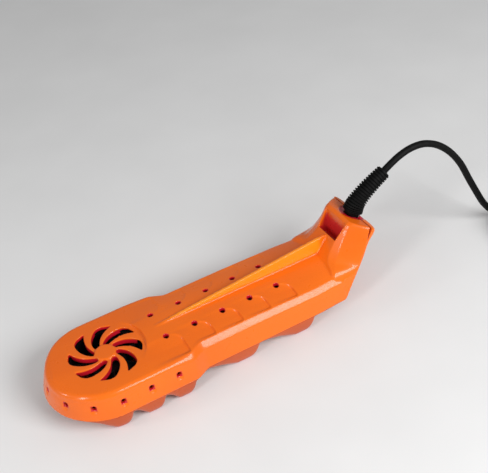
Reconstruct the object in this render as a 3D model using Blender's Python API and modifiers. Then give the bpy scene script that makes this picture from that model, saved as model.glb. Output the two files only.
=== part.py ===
"""Boot dryer: a slim fan and heater unit that slips into a boot, with its low-voltage lead.

Every size below is in millimetres and is turned into Blender's metres by MM. Places are measured
from the centre of the grille: x towards the heel, y across the unit, z up from the grille's face.
The empty named dryer stands at that centre, and every piece is parented to it.
"""

import math

import bmesh
import bpy
from mathutils import Vector

MM = 0.001

# Where the grille's centre lies in the part's own frame, whose origin is under the middle of the unit.
GRILLE_X = -65.65
GRILLE_Z = 26.0
FLOOR = -GRILLE_Z

# Housing, plan view
TOE_X = -4.0
HEAD_HALF = 33.0
SHANK_HALF = 28.7
SHANK_END_HALF = 26.8
NECK_IN_START = 36.5
NECK_IN_END = 48.0
TAPER_START = 116.0
BODY_END = 138.0
END_ROUND = 5.0
CAVITY_END = 134.5

# Housing, side view
PARTING = -15.5
SEAM_GAP = 0.3
WALL = 2.2
ROOF = 2.4
EDGE_Z = -0.6
EDGE_INSET = 6.2
SIDE_PROFILE = ((0.0, PARTING), (1.85, -8.0), (2.9, -4.4))
BEVEL_ACROSS = 3.3
BEVEL_DOWN = 3.8
CROWN_HEAD = 0.6
CROWN_SHANK = 2.6
TOE_DROP = 1.8
TOE_DROP_SPAN = (21.0, 37.0)
TOE_DROP_FOOT = -8.0

# Scallops and their air holes
HOLE_COUNT = 5
HOLE_X = 32.0
HOLE_PITCH = 17.4
HOLE_Y = 9.9
HOLE_RADIUS = 1.5
SCALLOP_LEAN = 5.0
SCALLOP_REACH = 7.0
SCALLOP_DEPTH = 1.5
SCALLOP_STEP = 0.25
FIRST_SCALLOP_START = 16.0
SIDE_HOLE_Z = -8.0
SIDE_HOLE_PITCH = 16.2
SIDE_HOLE_RADIUS = 1.3
HOLE_LENGTH = 9.0

# Grille: its slots' two sides as (radius, degrees), from the hub outwards and back
GRILLE_RECESS = 22.4
GRILLE_FLOOR = 0.08
SLOT_COUNT = 8
SLOT_LEAD = ((6.5, 26.0), (7.3, 31.5), (9.5, 24.5), (12.5, 15.2), (15.5, 5.6), (18.4, -3.6), (19.6, -9.0),
             (20.3, -17.0))
SLOT_TRAIL = ((20.3, -32.5), (17.4, -25.3), (14.5, -17.8), (11.5, -9.8), (8.8, -3.0), (7.2, 3.5), (6.5, 12.0))

# Centre rib: a blade that rises towards the neck
RIB_START = 30.0
RIB_END = 141.5
RIB_START_Z = 2.1
RIB_END_Z = 12.0
RIB_FOOT = 1.9
RIB_TOP = 0.9

# Neck: side-view front point, side-view seam point, half-width at the front and at the seam, rounding
NECK_RINGS = (
    ((122.0, -15.5), (137.6, -15.5), 24.5, 24.6, 2.6),
    ((129.0, -6.0), (142.9, -7.5), 24.0, 25.0, 4.0),
    ((132.8, 0.4), (147.3, -1.5), 21.6, 23.4, 6.2),
    ((135.6, 3.2), (149.4, 1.5), 18.6, 22.5, 6.0),
    ((138.2, 6.4), (151.4, 4.4), 16.2, 21.6, 4.8),
    ((141.6, 10.6), (155.0, 9.6), 14.0, 20.6, 3.4),
    ((144.2, 14.0), (157.4, 12.2), 13.1, 20.3, 2.6),
    ((147.4, 18.2), (160.2, 15.8), 13.0, 20.0, 2.0),
    ((149.8, 21.3), (162.9, 17.2), 13.4, 20.2, 1.7),
    ((152.2, 22.7), (163.9, 18.0), 12.8, 19.8, 1.6),
)
NECK_INNER_ROUND = 1.3
NECK_INNER_HALF = 10.5
NECK_WALL = 2.2
NECK_WALL_X = 2.7
NECK_PLATE = 3.2

# Rear plate of the neck, part of the lower housing: inner point, outer point, half-width
REAR_RINGS = (
    ((131.0, -16.6), (138.6, -17.4), 22.0),
    ((138.4, -15.8), (141.4, -15.9), 25.0),
    ((143.2, -7.5), (146.2, -8.4), 24.8),
    ((147.6, -1.5), (150.3, -2.4), 23.0),
    ((151.7, 4.3), (154.4, 3.2), 21.3),
    ((155.3, 9.6), (158.2, 8.0), 20.2),
    ((158.6, 13.2), (162.4, 9.8), 20.0),
    ((160.6, 15.6), (166.6, 12.4), 20.2),
    ((163.2, 17.0), (168.3, 14.6), 20.4),
    ((164.3, 17.9), (168.3, 16.2), 20.2),
)
REAR_ROUND = 6.0
REAR_ROUND_SHARE = 0.8

# Pocket in the front of the neck, side view
POCKET_HALF = 9.3
POCKET_OUTLINE = ((144.6, 12.6), (143.2, 6.0), (148.0, 6.0), (150.3, 21.2), (147.0, 26.0), (141.0, 14.5))
POCKET_WALLS = ((144.2, 13.0), (140.8, 11.5), (138.6, 6.0), (149.4, 4.8), (151.9, 20.4), (149.2, 20.0))
POCKET_WALL = 1.4

# Cord exit, square to the neck's end face
EXIT = (161.0, 19.2)
EXIT_SLOPE = math.radians(68.0)
EXIT_HOLE = 4.6
EXIT_RECESS = 8.0
EXIT_RECESS_DEPTH = 1.6
EXIT_FOOT_Z = 12.0
FLANGE_HOLE = 5.9
FLANGE_HOLE_SPAN = (3.4, 6.2)

# Waves under the body: where each starts, is deepest, stays deepest and ends
LOWER_FLAT = 1.9
WAVE_DEPTH = 8.3
WAVES = (
    (-24.0, -10.5, -5.5, -1.0),
    (-1.0, 8.0, 13.5, 18.0),
    (18.0, 26.5, 32.0, 36.5),
    (41.0, 65.0, 72.5, 78.5),
    (81.0, 103.0, 109.5, 115.0),
)
LOWER_WALL = 1.8
LOWER_ROWS = ((0.6, 0.0), (1.0, 0.45), (1.6, 0.75), (2.7, 0.94))
LOWER_EDGE = 4.6
LOWER_END = 137.7

# Housing screws, driven up from below
SCREW_PLACES = ((-27.5, 0.0), (38.6, -22.0), (38.6, 22.0), (126.0, -17.0), (126.0, 17.0))
BOSS_RADIUS = 3.4
BOSS_MEET = -12.4
BOSS_ROOF = -1.6
PILOT_DEPTH = 8.5
SCREW_HEAD = 2.5
SCREW_SHANK = 1.05
SCREW_HOLE = 1.4

# Fan
FAN_SIDE = 40.0
FAN_TOP = -4.3
FAN_DEPTH = 10.0
FAN_BORE = 19.2
FAN_HOLE_AT = 16.0
FAN_HUB = 11.2
BLADE_COUNT = 7
BLADE_TIP = 18.4
BLADE_TOP = FAN_TOP - 0.9
BLADE_BOTTOM = FAN_TOP - 7.5
BLADE_THICK = 1.0
BLADE_SKEW = math.radians(32.0)

# Heater
HEATER_X = (45.0, 67.0)
HEATER_Y = 16.5
HEATER_Z = (-13.9, -3.9)
HEATER_OPEN_Y = 14.0
HEATER_OPEN_Z = 3.9
FIN_COUNT = 12

# Circuit board
BOARD_X = (94.0, 121.0)
BOARD_Y = 13.0
BOARD_Z = (-9.4, -7.8)
BOARD_SCREWS = ((98.0, 10.0), (117.5, -10.0))
POST_RADIUS = 2.4
POST_ROOF = -0.9
POST_HOLE = 0.9
POST_HOLE_DEPTH = 5.0

# Cord: its diameter, how far it stays clear of the floor, its coil, the coil's tie and the plug
CORD = 4.2
CORD_LIFT = 0.2
COIL_CENTRE = (282.0, -43.0)
COIL_RADIUS = 23.0
COIL_TURN = 4.35
COIL_COUNT = 3
TIE_WIDTH = 5.0
TIE_THICK = 0.8
TIE_GAP = 0.4
TIE_TURN = math.radians(-25.0)
COIL_FOOT = FLOOR + CORD_LIFT + TIE_THICK + TIE_GAP
RELIEF_BASE = 6.7
RELIEF_TIP = 4.5
RELIEF_PATH = ((163.9, 24.6), (169.4, 29.4), (176.5, 34.0), (184.0, 38.1))
CORD_ROUTE = (
    (184.4, 0.0, 38.3),
    (189.6, 0.0, 41.4),
    (196.0, -0.2, 44.6),
    (203.5, -0.6, 46.6),
    (212.0, -1.2, 46.2),
    (221.0, -2.2, 42.2),
    (229.5, -3.6, 34.6),
    (236.5, -5.4, 24.4),
    (241.8, -7.4, 12.4),
    (247.2, -9.2, 0.6),
    (253.0, -10.3, -10.4),
    (260.2, -10.9, -18.8),
    (268.6, -11.0, -22.9),
    (276.5, -11.0, -23.7),
    (282.0, -11.0, -23.7),
)
PLUG_START = 281.0
PLUG_Y = -75.9
PLUG_RADIUS = 5.0


# ---------------------------------------------------------------------------------------------
# Building blocks
# ---------------------------------------------------------------------------------------------


def clear_scene():
    """Remove every object of the scene."""
    for item in list(bpy.data.objects):
        bpy.data.objects.remove(item, do_unlink=True)


def smoothstep(value, low, high):
    """Ease from 0 at low to 1 at high."""
    t = min(max((value - low) / (high - low), 0.0), 1.0)
    return t * t * (3.0 - 2.0 * t)


def make_material(name, colour, roughness, metallic=0.0):
    """A plain Principled material."""
    material = bpy.data.materials.new(name)
    material.use_nodes = True
    shader = material.node_tree.nodes["Principled BSDF"]
    shader.inputs["Base Color"].default_value = (*colour, 1.0)
    shader.inputs["Roughness"].default_value = roughness
    shader.inputs["Metallic"].default_value = metallic
    material.diffuse_color = (*colour, 1.0)
    return material


def add_piece(name, mesh, material, place=(0.0, 0.0, 0.0), parent="dryer"):
    """Put a mesh into the object's collection as a named piece."""
    piece = bpy.data.objects.new(name, mesh)
    piece.location = Vector(place) * MM
    piece.parent = bpy.data.objects[parent]
    bpy.data.collections["boot_dryer"].objects.link(piece)
    if material is not None:
        mesh.materials.append(material)
    return piece


def add_tool(name, mesh, place=(0.0, 0.0, 0.0)):
    """Put a mesh into the cutters' collection, hidden from renders."""
    tool = bpy.data.objects.new(name, mesh)
    tool.location = Vector(place) * MM
    tool.parent = bpy.data.objects["dryer"]
    tool.hide_render = True
    tool.display_type = "WIRE"
    bpy.data.collections["cutters"].objects.link(tool)
    return tool


def finish_mesh(name, form, smooth=35.0):
    """Turn a bmesh into a mesh with outward faces and smooth round parts."""
    bmesh.ops.remove_doubles(form, verts=form.verts, dist=0.001 * MM)
    bmesh.ops.recalc_face_normals(form, faces=form.faces)
    mesh = bpy.data.meshes.new(name)
    form.to_mesh(mesh)
    form.free()
    if smooth:
        mesh.shade_smooth()
        mesh.set_sharp_from_angle(angle=math.radians(smooth))
    return mesh


def grid_mesh(name, lines):
    """Skin neighbouring closed rings of points and cap both ends."""
    form = bmesh.new()
    rows = [[form.verts.new(Vector(point) * MM) for point in line] for line in lines]
    count = len(rows[0])
    for first, second in zip(rows, rows[1:]):
        for k in range(count):
            after = (k + 1) % count
            form.faces.new((first[k], first[after], second[after], second[k]))
    form.faces.new(rows[0])
    form.faces.new(list(reversed(rows[-1])))
    return finish_mesh(name, form)


def extruded(name, outline, low, high, plane="XY"):
    """Extrude a flat outline along Z, or along Y for an outline in the XZ plane."""
    form = bmesh.new()
    if plane == "XY":
        corners = [form.verts.new(Vector((x, y, low)) * MM) for x, y in outline]
        travel = Vector((0.0, 0.0, high - low)) * MM
    elif plane == "XZ":
        corners = [form.verts.new(Vector((x, low, z)) * MM) for x, z in outline]
        travel = Vector((0.0, high - low, 0.0)) * MM
    else:
        corners = [form.verts.new(Vector((low, y, z)) * MM) for y, z in outline]
        travel = Vector((high - low, 0.0, 0.0)) * MM
    face = form.faces.new(corners)
    grown = bmesh.ops.extrude_face_region(form, geom=[face])
    moved = [item for item in grown["geom"] if isinstance(item, bmesh.types.BMVert)]
    bmesh.ops.translate(form, verts=moved, vec=travel)
    return finish_mesh(name, form)


def block_mesh(name, size):
    """A cube primitive brought to size."""
    form = bmesh.new()
    bmesh.ops.create_cube(form, size=1.0)
    bmesh.ops.scale(form, vec=Vector(size) * MM, verts=form.verts)
    return finish_mesh(name, form, smooth=0.0)


def rod_mesh(name, radius, length, segments=20, top_radius=None):
    """A capped cylinder or cone along Z."""
    form = bmesh.new()
    bmesh.ops.create_cone(
        form,
        cap_ends=True,
        segments=segments,
        radius1=radius * MM,
        radius2=(radius if top_radius is None else top_radius) * MM,
        depth=length * MM,
    )
    return finish_mesh(name, form)


def block(name, x_span, y_span, z_span, material, edge=0.0):
    """A block between two corners, with rounded edges if asked for."""
    spans = (x_span, y_span, z_span)
    size = [high - low for low, high in spans]
    centre = [(high + low) / 2.0 for low, high in spans]
    piece = add_piece(name, block_mesh(name, size), material, centre)
    if edge:
        soften(piece, edge)
    return piece


def soften(piece, width, segments=2):
    """Round the sharp edges of a piece."""
    bevel = piece.modifiers.new("rounded_edges", "BEVEL")
    bevel.width = width * MM
    bevel.segments = segments
    bevel.limit_method = "ANGLE"


def turned(name, profile, material, place=(0.0, 0.0, 0.0), segments=24, parent="dryer"):
    """Turn a closed profile of (radius, z) points about the Z axis."""
    mesh = bpy.data.meshes.new(name)
    points = [(radius * MM, 0.0, z * MM) for radius, z in profile]
    edges = [(k, (k + 1) % len(points)) for k in range(len(points))]
    mesh.from_pydata(points, edges, [])
    piece = add_piece(name, mesh, material, place, parent)
    screw = piece.modifiers.new("turning", "SCREW")
    screw.angle = 2.0 * math.pi
    screw.steps = segments
    screw.render_steps = segments
    screw.use_merge_vertices = True
    screw.merge_threshold = 0.01 * MM
    screw.use_smooth_shade = True
    return piece


def combine(piece, tool, operation):
    """Cut a piece with a tool, or join the tool to it."""
    step = piece.modifiers.new(tool.name, "BOOLEAN")
    step.operation = operation
    step.object = tool


def cut(piece, mesh, place=(0.0, 0.0, 0.0), rotation=None):
    """Cut a piece with a mesh."""
    tool = add_tool(mesh.name, mesh, place)
    if rotation is not None:
        tool.rotation_euler = rotation
    combine(piece, tool, "DIFFERENCE")


def join(piece, mesh, place=(0.0, 0.0, 0.0)):
    """Join a mesh to a piece."""
    combine(piece, add_tool(mesh.name, mesh, place), "UNION")


def spline_points(route, count):
    """Evenly numbered points on a smooth curve through the route's own points."""
    points = [Vector(point) for point in route]
    ends = [2.0 * points[0] - points[1]] + points + [2.0 * points[-1] - points[-2]]
    spans = len(points) - 1
    result = []
    for k in range(count):
        along = spans * k / (count - 1)
        span = min(int(along), spans - 1)
        t = along - span
        a, b, c, d = ends[span:span + 4]
        result.append(
            0.5 * (2.0 * b + (c - a) * t + (2.0 * a - 5.0 * b + 4.0 * c - d) * t ** 2
                   + (3.0 * b - 3.0 * c + d - a) * t ** 3)
        )
    return result


def tube(name, route, radius, count, material):
    """A round wire or cord along a smooth curve."""
    curve = bpy.data.curves.new(name, "CURVE")
    curve.dimensions = "3D"
    curve.bevel_depth = radius * MM
    curve.bevel_resolution = 2
    curve.use_fill_caps = True
    spline = curve.splines.new("POLY")
    points = spline_points(route, count)
    spline.points.add(len(points) - 1)
    for knot, point in zip(spline.points, points):
        knot.co = (*(point * MM), 1.0)
    piece = bpy.data.objects.new(name, curve)
    piece.parent = bpy.data.objects["dryer"]
    bpy.data.collections["boot_dryer"].objects.link(piece)
    curve.materials.append(material)
    return piece


# ---------------------------------------------------------------------------------------------
# Housing surfaces
# ---------------------------------------------------------------------------------------------


def half_width(x):
    """Half-width of the housing at the parting line, behind the round toe."""
    width = HEAD_HALF + (SHANK_HALF - HEAD_HALF) * smoothstep(x, NECK_IN_START, NECK_IN_END)
    width += (SHANK_END_HALF - SHANK_HALF) * smoothstep(x, TAPER_START, BODY_END)
    beyond = min(max((x - BODY_END + END_ROUND) / END_ROUND, 0.0), 1.0)
    return width - END_ROUND * (1.0 - math.sqrt(1.0 - beyond ** 2))


def arc_lines():
    """Where each scallop ends at the housing's edge."""
    return [HOLE_X + SCALLOP_REACH + HOLE_PITCH * k for k in range(HOLE_COUNT)]


def stations(end, scallops):
    """Stations from the toe's tip to the end: an angle round the toe, then a distance along the edge."""
    result = [("angle", math.radians(a)) for a in range(0, 91, 10)]
    along = [3.0, 9.0, FIRST_SCALLOP_START, 23.0, 30.0, 35.0]
    arcs = arc_lines()
    if scallops:
        for k, arc in enumerate(arcs):
            along += [arc - SCALLOP_STEP, arc + SCALLOP_STEP]
            if k + 1 < HOLE_COUNT:
                along += [arc + 6.0, arc + 11.5]
        along += [41.5, 43.5, 48.0, 117.0, 125.0, 131.0]
        along += [BODY_END - END_ROUND, BODY_END - END_ROUND * 0.5, BODY_END - END_ROUND * 0.2]
    else:
        along += [39.0, 42.0, 45.0, 48.0, 65.0, 90.0, 117.0, 128.0]
    along = sorted(x for x in along if x < end - 0.5)
    return result + [("along", x) for x in along] + [("along", end)]


def edge_point(station, inset):
    """Plan position of a point of the side wall."""
    kind, value = station
    if kind == "angle":
        radius = HEAD_HALF - inset
        return TOE_X - radius * math.cos(value), radius * math.sin(value)
    return value, half_width(value) - inset


def lean_at(x, end):
    """How far the scallop arcs lean back from the edge towards the middle."""
    first = arc_lines()[0]
    last = arc_lines()[-1]
    grow = min(max((x - TOE_X) / (first - TOE_X), 0.0), 1.0)
    fade = min(max((end - x) / (end - last), 0.0), 1.0)
    return SCALLOP_LEAN * grow * fade


def arc_shape(y):
    """Shape of a scallop arc: 0 along the middle, 1 from SCALLOP_REACH outside the holes."""
    t = min(max((abs(y) - HOLE_Y) / SCALLOP_REACH, 0.0), 1.0)
    return math.sqrt(1.0 - (1.0 - t) ** 2)


def scallop_depth(x, share):
    """Depth of the scallops at a station, for a share of the way from the middle to the edge."""
    starts = [FIRST_SCALLOP_START] + arc_lines()
    depth = 0.0
    for start, arc in zip(starts, arc_lines()):
        if start < x <= arc:
            depth = SCALLOP_DEPTH * (x - start) / (arc - start)
    if share > 0.99:
        return 0.0
    return depth * min(max((share - 0.44) / 0.46, 0.0), 1.0)


def crown_at(x):
    """Height of the middle of the top over its edges."""
    return CROWN_HEAD + (CROWN_SHANK - CROWN_HEAD) * smoothstep(x, 6.0, 34.0)


def toe_drop(x, z):
    """How far the top of the toe rolls over below the level of the grille."""
    height = min(max((z - TOE_DROP_FOOT) / -TOE_DROP_FOOT, 0.0), 1.0)
    return TOE_DROP * smoothstep(-x, *TOE_DROP_SPAN) * height


def side_rows(inset, foot):
    """Inset and height of each row of the side wall and its rounded top edge."""
    rows = [(offset + inset, z) for offset, z in SIDE_PROFILE]
    rows[0] = (rows[0][0], foot)
    top_offset, top_z = SIDE_PROFILE[-1]
    for angle in (25.0, 48.0, 70.0):
        turn = math.radians(angle)
        offset = top_offset + BEVEL_ACROSS * (1.0 - math.cos(turn))
        rows.append((offset + inset, top_z + BEVEL_DOWN * math.sin(turn)))
    return rows


def top_shares(scallops):
    """Shares of the half-width at which the top has points."""
    half = [0.0, 0.24, 0.44, 0.56, 0.68, 0.8, 0.9, 0.965, 1.0] if scallops else [0.0, 0.4, 0.75, 1.0]
    return [-share for share in reversed(half[1:])] + half


def upper_line(station, end, inset, drop, foot, scallops):
    """One line of points over the upper housing, from its near foot to its far foot."""
    near = []
    far = []
    for offset, z in side_rows(inset, foot):
        x, y = edge_point(station, offset)
        height = z if z == foot else z - drop - toe_drop(x, z)
        near.append((x, -y, height))
        far.append((x, y, height))
    x, width = edge_point(station, EDGE_INSET + inset)
    lean = lean_at(x, end)
    top = []
    for share in top_shares(scallops):
        y = width * share
        z = EDGE_Z + crown_at(x) * (1.0 - share ** 2) - drop
        z -= toe_drop(x, z)
        if scallops:
            z -= scallop_depth(x, abs(share))
        top.append((x - lean * (1.0 - arc_shape(y)), y, z))
    return near + top + list(reversed(far))


def housing_solid(name, lines):
    """Skin the lines of a housing and close its flat foot and its end."""
    form = bmesh.new()
    rows = [[form.verts.new(Vector(point) * MM) for point in line] for line in lines]
    for first, second in zip(rows, rows[1:]):
        for k in range(len(first) - 1):
            form.faces.new((first[k], first[k + 1], second[k + 1], second[k]))
    bmesh.ops.remove_doubles(form, verts=form.verts, dist=0.001 * MM)
    bmesh.ops.dissolve_degenerate(form, edges=form.edges, dist=0.001 * MM)
    rim = [edge for edge in form.edges if edge.is_boundary]
    foot = [edge for edge in rim if abs(edge.verts[0].co.z - edge.verts[1].co.z) < 1e-7]
    foot_z = lines[0][0][2] * MM
    foot = [edge for edge in foot if abs(edge.verts[0].co.z - foot_z) < 1e-7]
    ends = [edge for edge in rim if edge not in foot]
    across = form.edges.new((ends_low(ends, foot_z, -1), ends_low(ends, foot_z, 1)))
    bmesh.ops.contextual_create(form, geom=foot + [across])
    bmesh.ops.contextual_create(form, geom=ends + [across])
    return finish_mesh(name, form)


def ends_low(edges, foot_z, side):
    """The foot corner of the end opening on one side."""
    corners = {vert for edge in edges for vert in edge.verts if abs(vert.co.z - foot_z) < 1e-7}
    return max(corners, key=lambda vert: side * vert.co.y)


def upper_form(name, end, inset=0.0, drop=0.0, foot=PARTING, scallops=True):
    """The upper housing's outside, or the space inside it."""
    lines = [upper_line(s, end, inset, drop, foot, scallops) for s in stations(end, scallops)]
    return housing_solid(name, lines)


def wave_at(x):
    """Share of the full wave depth at x."""
    for start, deep, leave, end in WAVES:
        if start < x < end:
            if x < deep:
                return (x - start) / (deep - start) * (0.55 + 0.45 * smoothstep(x, start, deep))
            if x <= leave:
                return 1.0
            return math.sqrt(1.0 - ((x - leave) / (end - leave)) ** 2)
    return 0.0


def lower_stations():
    """Stations along the lower housing: round the toe, then wherever the waves bend."""
    result = [("angle", math.radians(a)) for a in range(0, 91, 15)]
    along = [NECK_IN_END]
    for start, deep, leave, end in WAVES:
        along += [start, (start + deep) / 2.0, deep, leave]
        along += [leave + (end - leave) * share for share in (0.55, 0.88, 1.0)]
    along += [128.0, BODY_END - END_ROUND, BODY_END - END_ROUND * 0.5]
    along = sorted({x for x in along if x > TOE_X + 1.0})
    return result + [("along", x) for x in along] + [("along", LOWER_END)]


def lower_line(station, inset, thickness, rim):
    """One line of points under the lower housing, from near rim to far rim."""
    near = []
    far = []
    for offset, share in LOWER_ROWS:
        x, y = edge_point(station, offset + inset)
        depth = LOWER_FLAT + WAVE_DEPTH * wave_at(x) - thickness
        z = PARTING - SEAM_GAP - depth * share
        height = rim if share == 0.0 else z
        near.append((x, -y, height))
        far.append((x, y, height))
    x, width = edge_point(station, LOWER_EDGE + inset)
    depth = LOWER_FLAT + WAVE_DEPTH * wave_at(x) - thickness
    floor = [(x, width * share, PARTING - SEAM_GAP - depth) for share in (-1.0, -0.5, 0.0, 0.5, 1.0)]
    return near + floor + list(reversed(far))


def lower_form(name, inset=0.0, thickness=0.0, rim=PARTING - SEAM_GAP):
    """The lower housing's outside, or the space inside it."""
    return housing_solid(name, [lower_line(s, inset, thickness, rim) for s in lower_stations()])


def neck_section(front, seam, front_half, seam_half, round_front):
    """Closed section of the neck between its front point and its seam point."""
    depth = math.dist(front, seam)
    curl = round_front / depth
    slope = (seam_half - front_half) * 0.62
    half = [
        (0.0, 0.0),
        (0.0, front_half * 0.5),
        (0.0, front_half - round_front),
        (curl * 0.3, front_half - round_front * 0.3),
        (curl, front_half + slope * curl * 2.0),
        (0.5, front_half + slope),
        (0.86, seam_half - 0.2),
        (1.0, seam_half),
        (1.0, 0.0),
    ]
    points = [(share, y) for share, y in half] + [(share, -y) for share, y in reversed(half[1:-1])]
    result = []
    for share, y in points:
        x = front[0] + (seam[0] - front[0]) * share
        z = front[1] + (seam[1] - front[1]) * share
        result.append((x, y, z))
    return result


def neck_form(name):
    """Outside of the neck down to its seam with the rear plate."""
    sections = [neck_section(*ring) for ring in NECK_RINGS]
    return grid_mesh(name, sections)


def neck_space(name):
    """Space inside the neck, open at the back and at the bottom."""
    sections = []
    for front, seam, front_half, seam_half, _ in NECK_RINGS[:-1]:
        inner_front = (front[0] + NECK_WALL_X, front[1])
        open_seam = (seam[0] + 4.0, seam[1] - 1.0)
        inner_half = front_half - NECK_WALL
        if front[1] > EXIT_FOOT_Z:
            inner_half = min(inner_half, NECK_INNER_HALF)
        inner_seam_half = seam_half - NECK_WALL
        sections.append(neck_section(inner_front, open_seam, inner_half, inner_seam_half, NECK_INNER_ROUND))
    sections[0] = [(x, y, PARTING - 1.0) for x, y, _ in sections[0]]
    along = Vector((math.cos(EXIT_SLOPE), 0.0, math.sin(EXIT_SLOPE)))
    limit = along.dot(Vector((EXIT[0], 0.0, EXIT[1]))) - NECK_PLATE
    sections = [section for section in sections if along.dot(Vector(section[0])) < limit - 0.5]
    top = []
    for point in sections[-1]:
        top.append(tuple(Vector(point) + along * (limit - along.dot(Vector(point)))))
    sections[-1] = top
    return grid_mesh(name, sections)


def rear_section(inner, outer, half):
    """Closed section of the neck's rear plate, with elliptical outer corners."""
    shape = [(0.0, 0.0), (0.0, half)]
    for angle in (0.0, 35.0, 65.0, 90.0):
        turn = math.radians(angle)
        along = 1.0 - REAR_ROUND_SHARE * (1.0 - math.sin(turn))
        shape.append((along, half - REAR_ROUND * (1.0 - math.cos(turn))))
    shape.append((1.0, 0.0))
    points = shape + [(along, -y) for along, y in reversed(shape[1:-1])]
    result = []
    for along, y in points:
        x = inner[0] + (outer[0] - inner[0]) * along
        z = inner[1] + (outer[1] - inner[1]) * along
        result.append((x, y, z))
    return result


def rear_form(name):
    """The neck's rear plate."""
    return grid_mesh(name, [rear_section(*ring) for ring in REAR_RINGS])


def slot_outline(turn):
    """One curved slot of the grille, pointed at its trailing outer end."""
    result = []
    for radius, degrees in SLOT_LEAD + SLOT_TRAIL:
        angle = turn + math.radians(degrees)
        result.append((radius * math.cos(angle), radius * math.sin(angle)))
    return result


def rib_form(name):
    """The tapered blade along the middle of the shank."""
    sections = []
    for x, top in ((RIB_START, RIB_START_Z), (RIB_END, RIB_END_Z)):
        foot = 0.4
        sections.append([(x, -RIB_FOOT, foot), (x, RIB_FOOT, foot), (x, RIB_TOP, top), (x, -RIB_TOP, top)])
    return grid_mesh(name, sections)


def exit_point(depth):
    """A point on the cord exit's axis, so deep below the neck's end face."""
    return (EXIT[0] - depth * math.cos(EXIT_SLOPE), 0.0, EXIT[1] - depth * math.sin(EXIT_SLOPE))


def cut_exit(piece, label):
    """Cut the cord's hole, its front recess and the groove for the strain relief's flange."""
    tilt = (0.0, math.radians(90.0) - EXIT_SLOPE, 0.0)
    cut(piece, rod_mesh(label + "_exit_hole", EXIT_HOLE, 16.0, 24), exit_point(2.0), tilt)
    span = FLANGE_HOLE_SPAN
    depth = span[1] - span[0]
    cut(piece, rod_mesh(label + "_flange_groove", FLANGE_HOLE, depth, 24), exit_point(sum(span) / 2.0), tilt)


# ---------------------------------------------------------------------------------------------
# Housing pieces
# ---------------------------------------------------------------------------------------------


def side_hole_places():
    """Place and outward direction of each hole in the head's side wall, evenly spaced round the toe."""
    radius = HEAD_HALF - SIDE_PROFILE[1][0]
    places = []
    for k in range(-5, 6):
        distance = abs(k) * SIDE_HOLE_PITCH
        quarter = radius * math.pi / 2.0
        side = 1.0 if k >= 0 else -1.0
        if distance <= quarter:
            angle = distance / radius
            spot = (TOE_X - radius * math.cos(angle), side * radius * math.sin(angle))
            places.append((spot, math.pi - side * angle))
        else:
            places.append(((TOE_X + distance - quarter, side * radius), side * math.pi / 2.0))
    return places


def upper_housing(material):
    """Upper half of the housing: head, shank, neck front, grille, scallops, rib and pocket."""
    piece = add_piece("upper_housing", upper_form("upper_housing", BODY_END), material)
    join(piece, neck_form("neck_front"))
    join(piece, rib_form("rib_blade"))
    cut(piece, upper_form("upper_space", CAVITY_END, WALL, ROOF, PARTING - 1.0, scallops=False))
    cut(piece, neck_space("neck_space"))
    walls_half = POCKET_HALF + POCKET_WALL
    join(piece, extruded("pocket_walls", POCKET_WALLS, -walls_half, walls_half, "XZ"))
    cut(piece, extruded("pocket", POCKET_OUTLINE, -POCKET_HALF, POCKET_HALF, "XZ"))
    boss_length = BOSS_ROOF - BOSS_MEET
    for k, (x, y) in enumerate(SCREW_PLACES):
        boss = rod_mesh(f"upper_boss_{k + 1}", BOSS_RADIUS, boss_length, 16)
        join(piece, boss, (x, y, BOSS_ROOF - boss_length / 2.0))
        pilot = rod_mesh(f"upper_pilot_{k + 1}", SCREW_HOLE, PILOT_DEPTH, 12)
        cut(piece, pilot, (x, y, BOSS_MEET + PILOT_DEPTH / 2.0 - 0.5))
    foot = BOARD_Z[1] + SEAM_GAP
    for k, (x, y) in enumerate(BOARD_SCREWS):
        post = rod_mesh(f"board_post_{k + 1}", POST_RADIUS, POST_ROOF - foot, 12)
        join(piece, post, (x, y, (POST_ROOF + foot) / 2.0))
        cut(piece, rod_mesh(f"board_pilot_{k + 1}", POST_HOLE, POST_HOLE_DEPTH, 10), (x, y, foot + 2.0))
    recess = rod_mesh("grille_recess", GRILLE_RECESS, 4.0, 48)
    cut(piece, recess, (0.0, 0.0, 2.0 + GRILLE_FLOOR))
    for k in range(SLOT_COUNT):
        turn = 2.0 * math.pi * k / SLOT_COUNT
        cut(piece, extruded(f"grille_slot_{k + 1}", slot_outline(turn), -5.0, 2.0))
    for k in range(HOLE_COUNT):
        for side, label in ((-1.0, "near"), (1.0, "far")):
            place = (HOLE_X + HOLE_PITCH * k, side * HOLE_Y, 0.0)
            cut(piece, rod_mesh(f"top_hole_{k + 1}_{label}", HOLE_RADIUS, HOLE_LENGTH, 10), place)
    for k, ((x, y), facing) in enumerate(side_hole_places()):
        mesh = rod_mesh(f"side_hole_{k + 1}", SIDE_HOLE_RADIUS, HOLE_LENGTH, 10)
        cut(piece, mesh, (x, y, SIDE_HOLE_Z), (0.0, math.pi / 2.0, facing))
    tilt = (0.0, math.radians(90.0) - EXIT_SLOPE, 0.0)
    recess_at = exit_point(EXIT_RECESS_DEPTH / 2.0 - 2.0)
    cut(piece, rod_mesh("exit_recess", EXIT_RECESS, EXIT_RECESS_DEPTH + 4.0, 24), recess_at, tilt)
    cut_exit(piece, "upper")
    return piece


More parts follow.
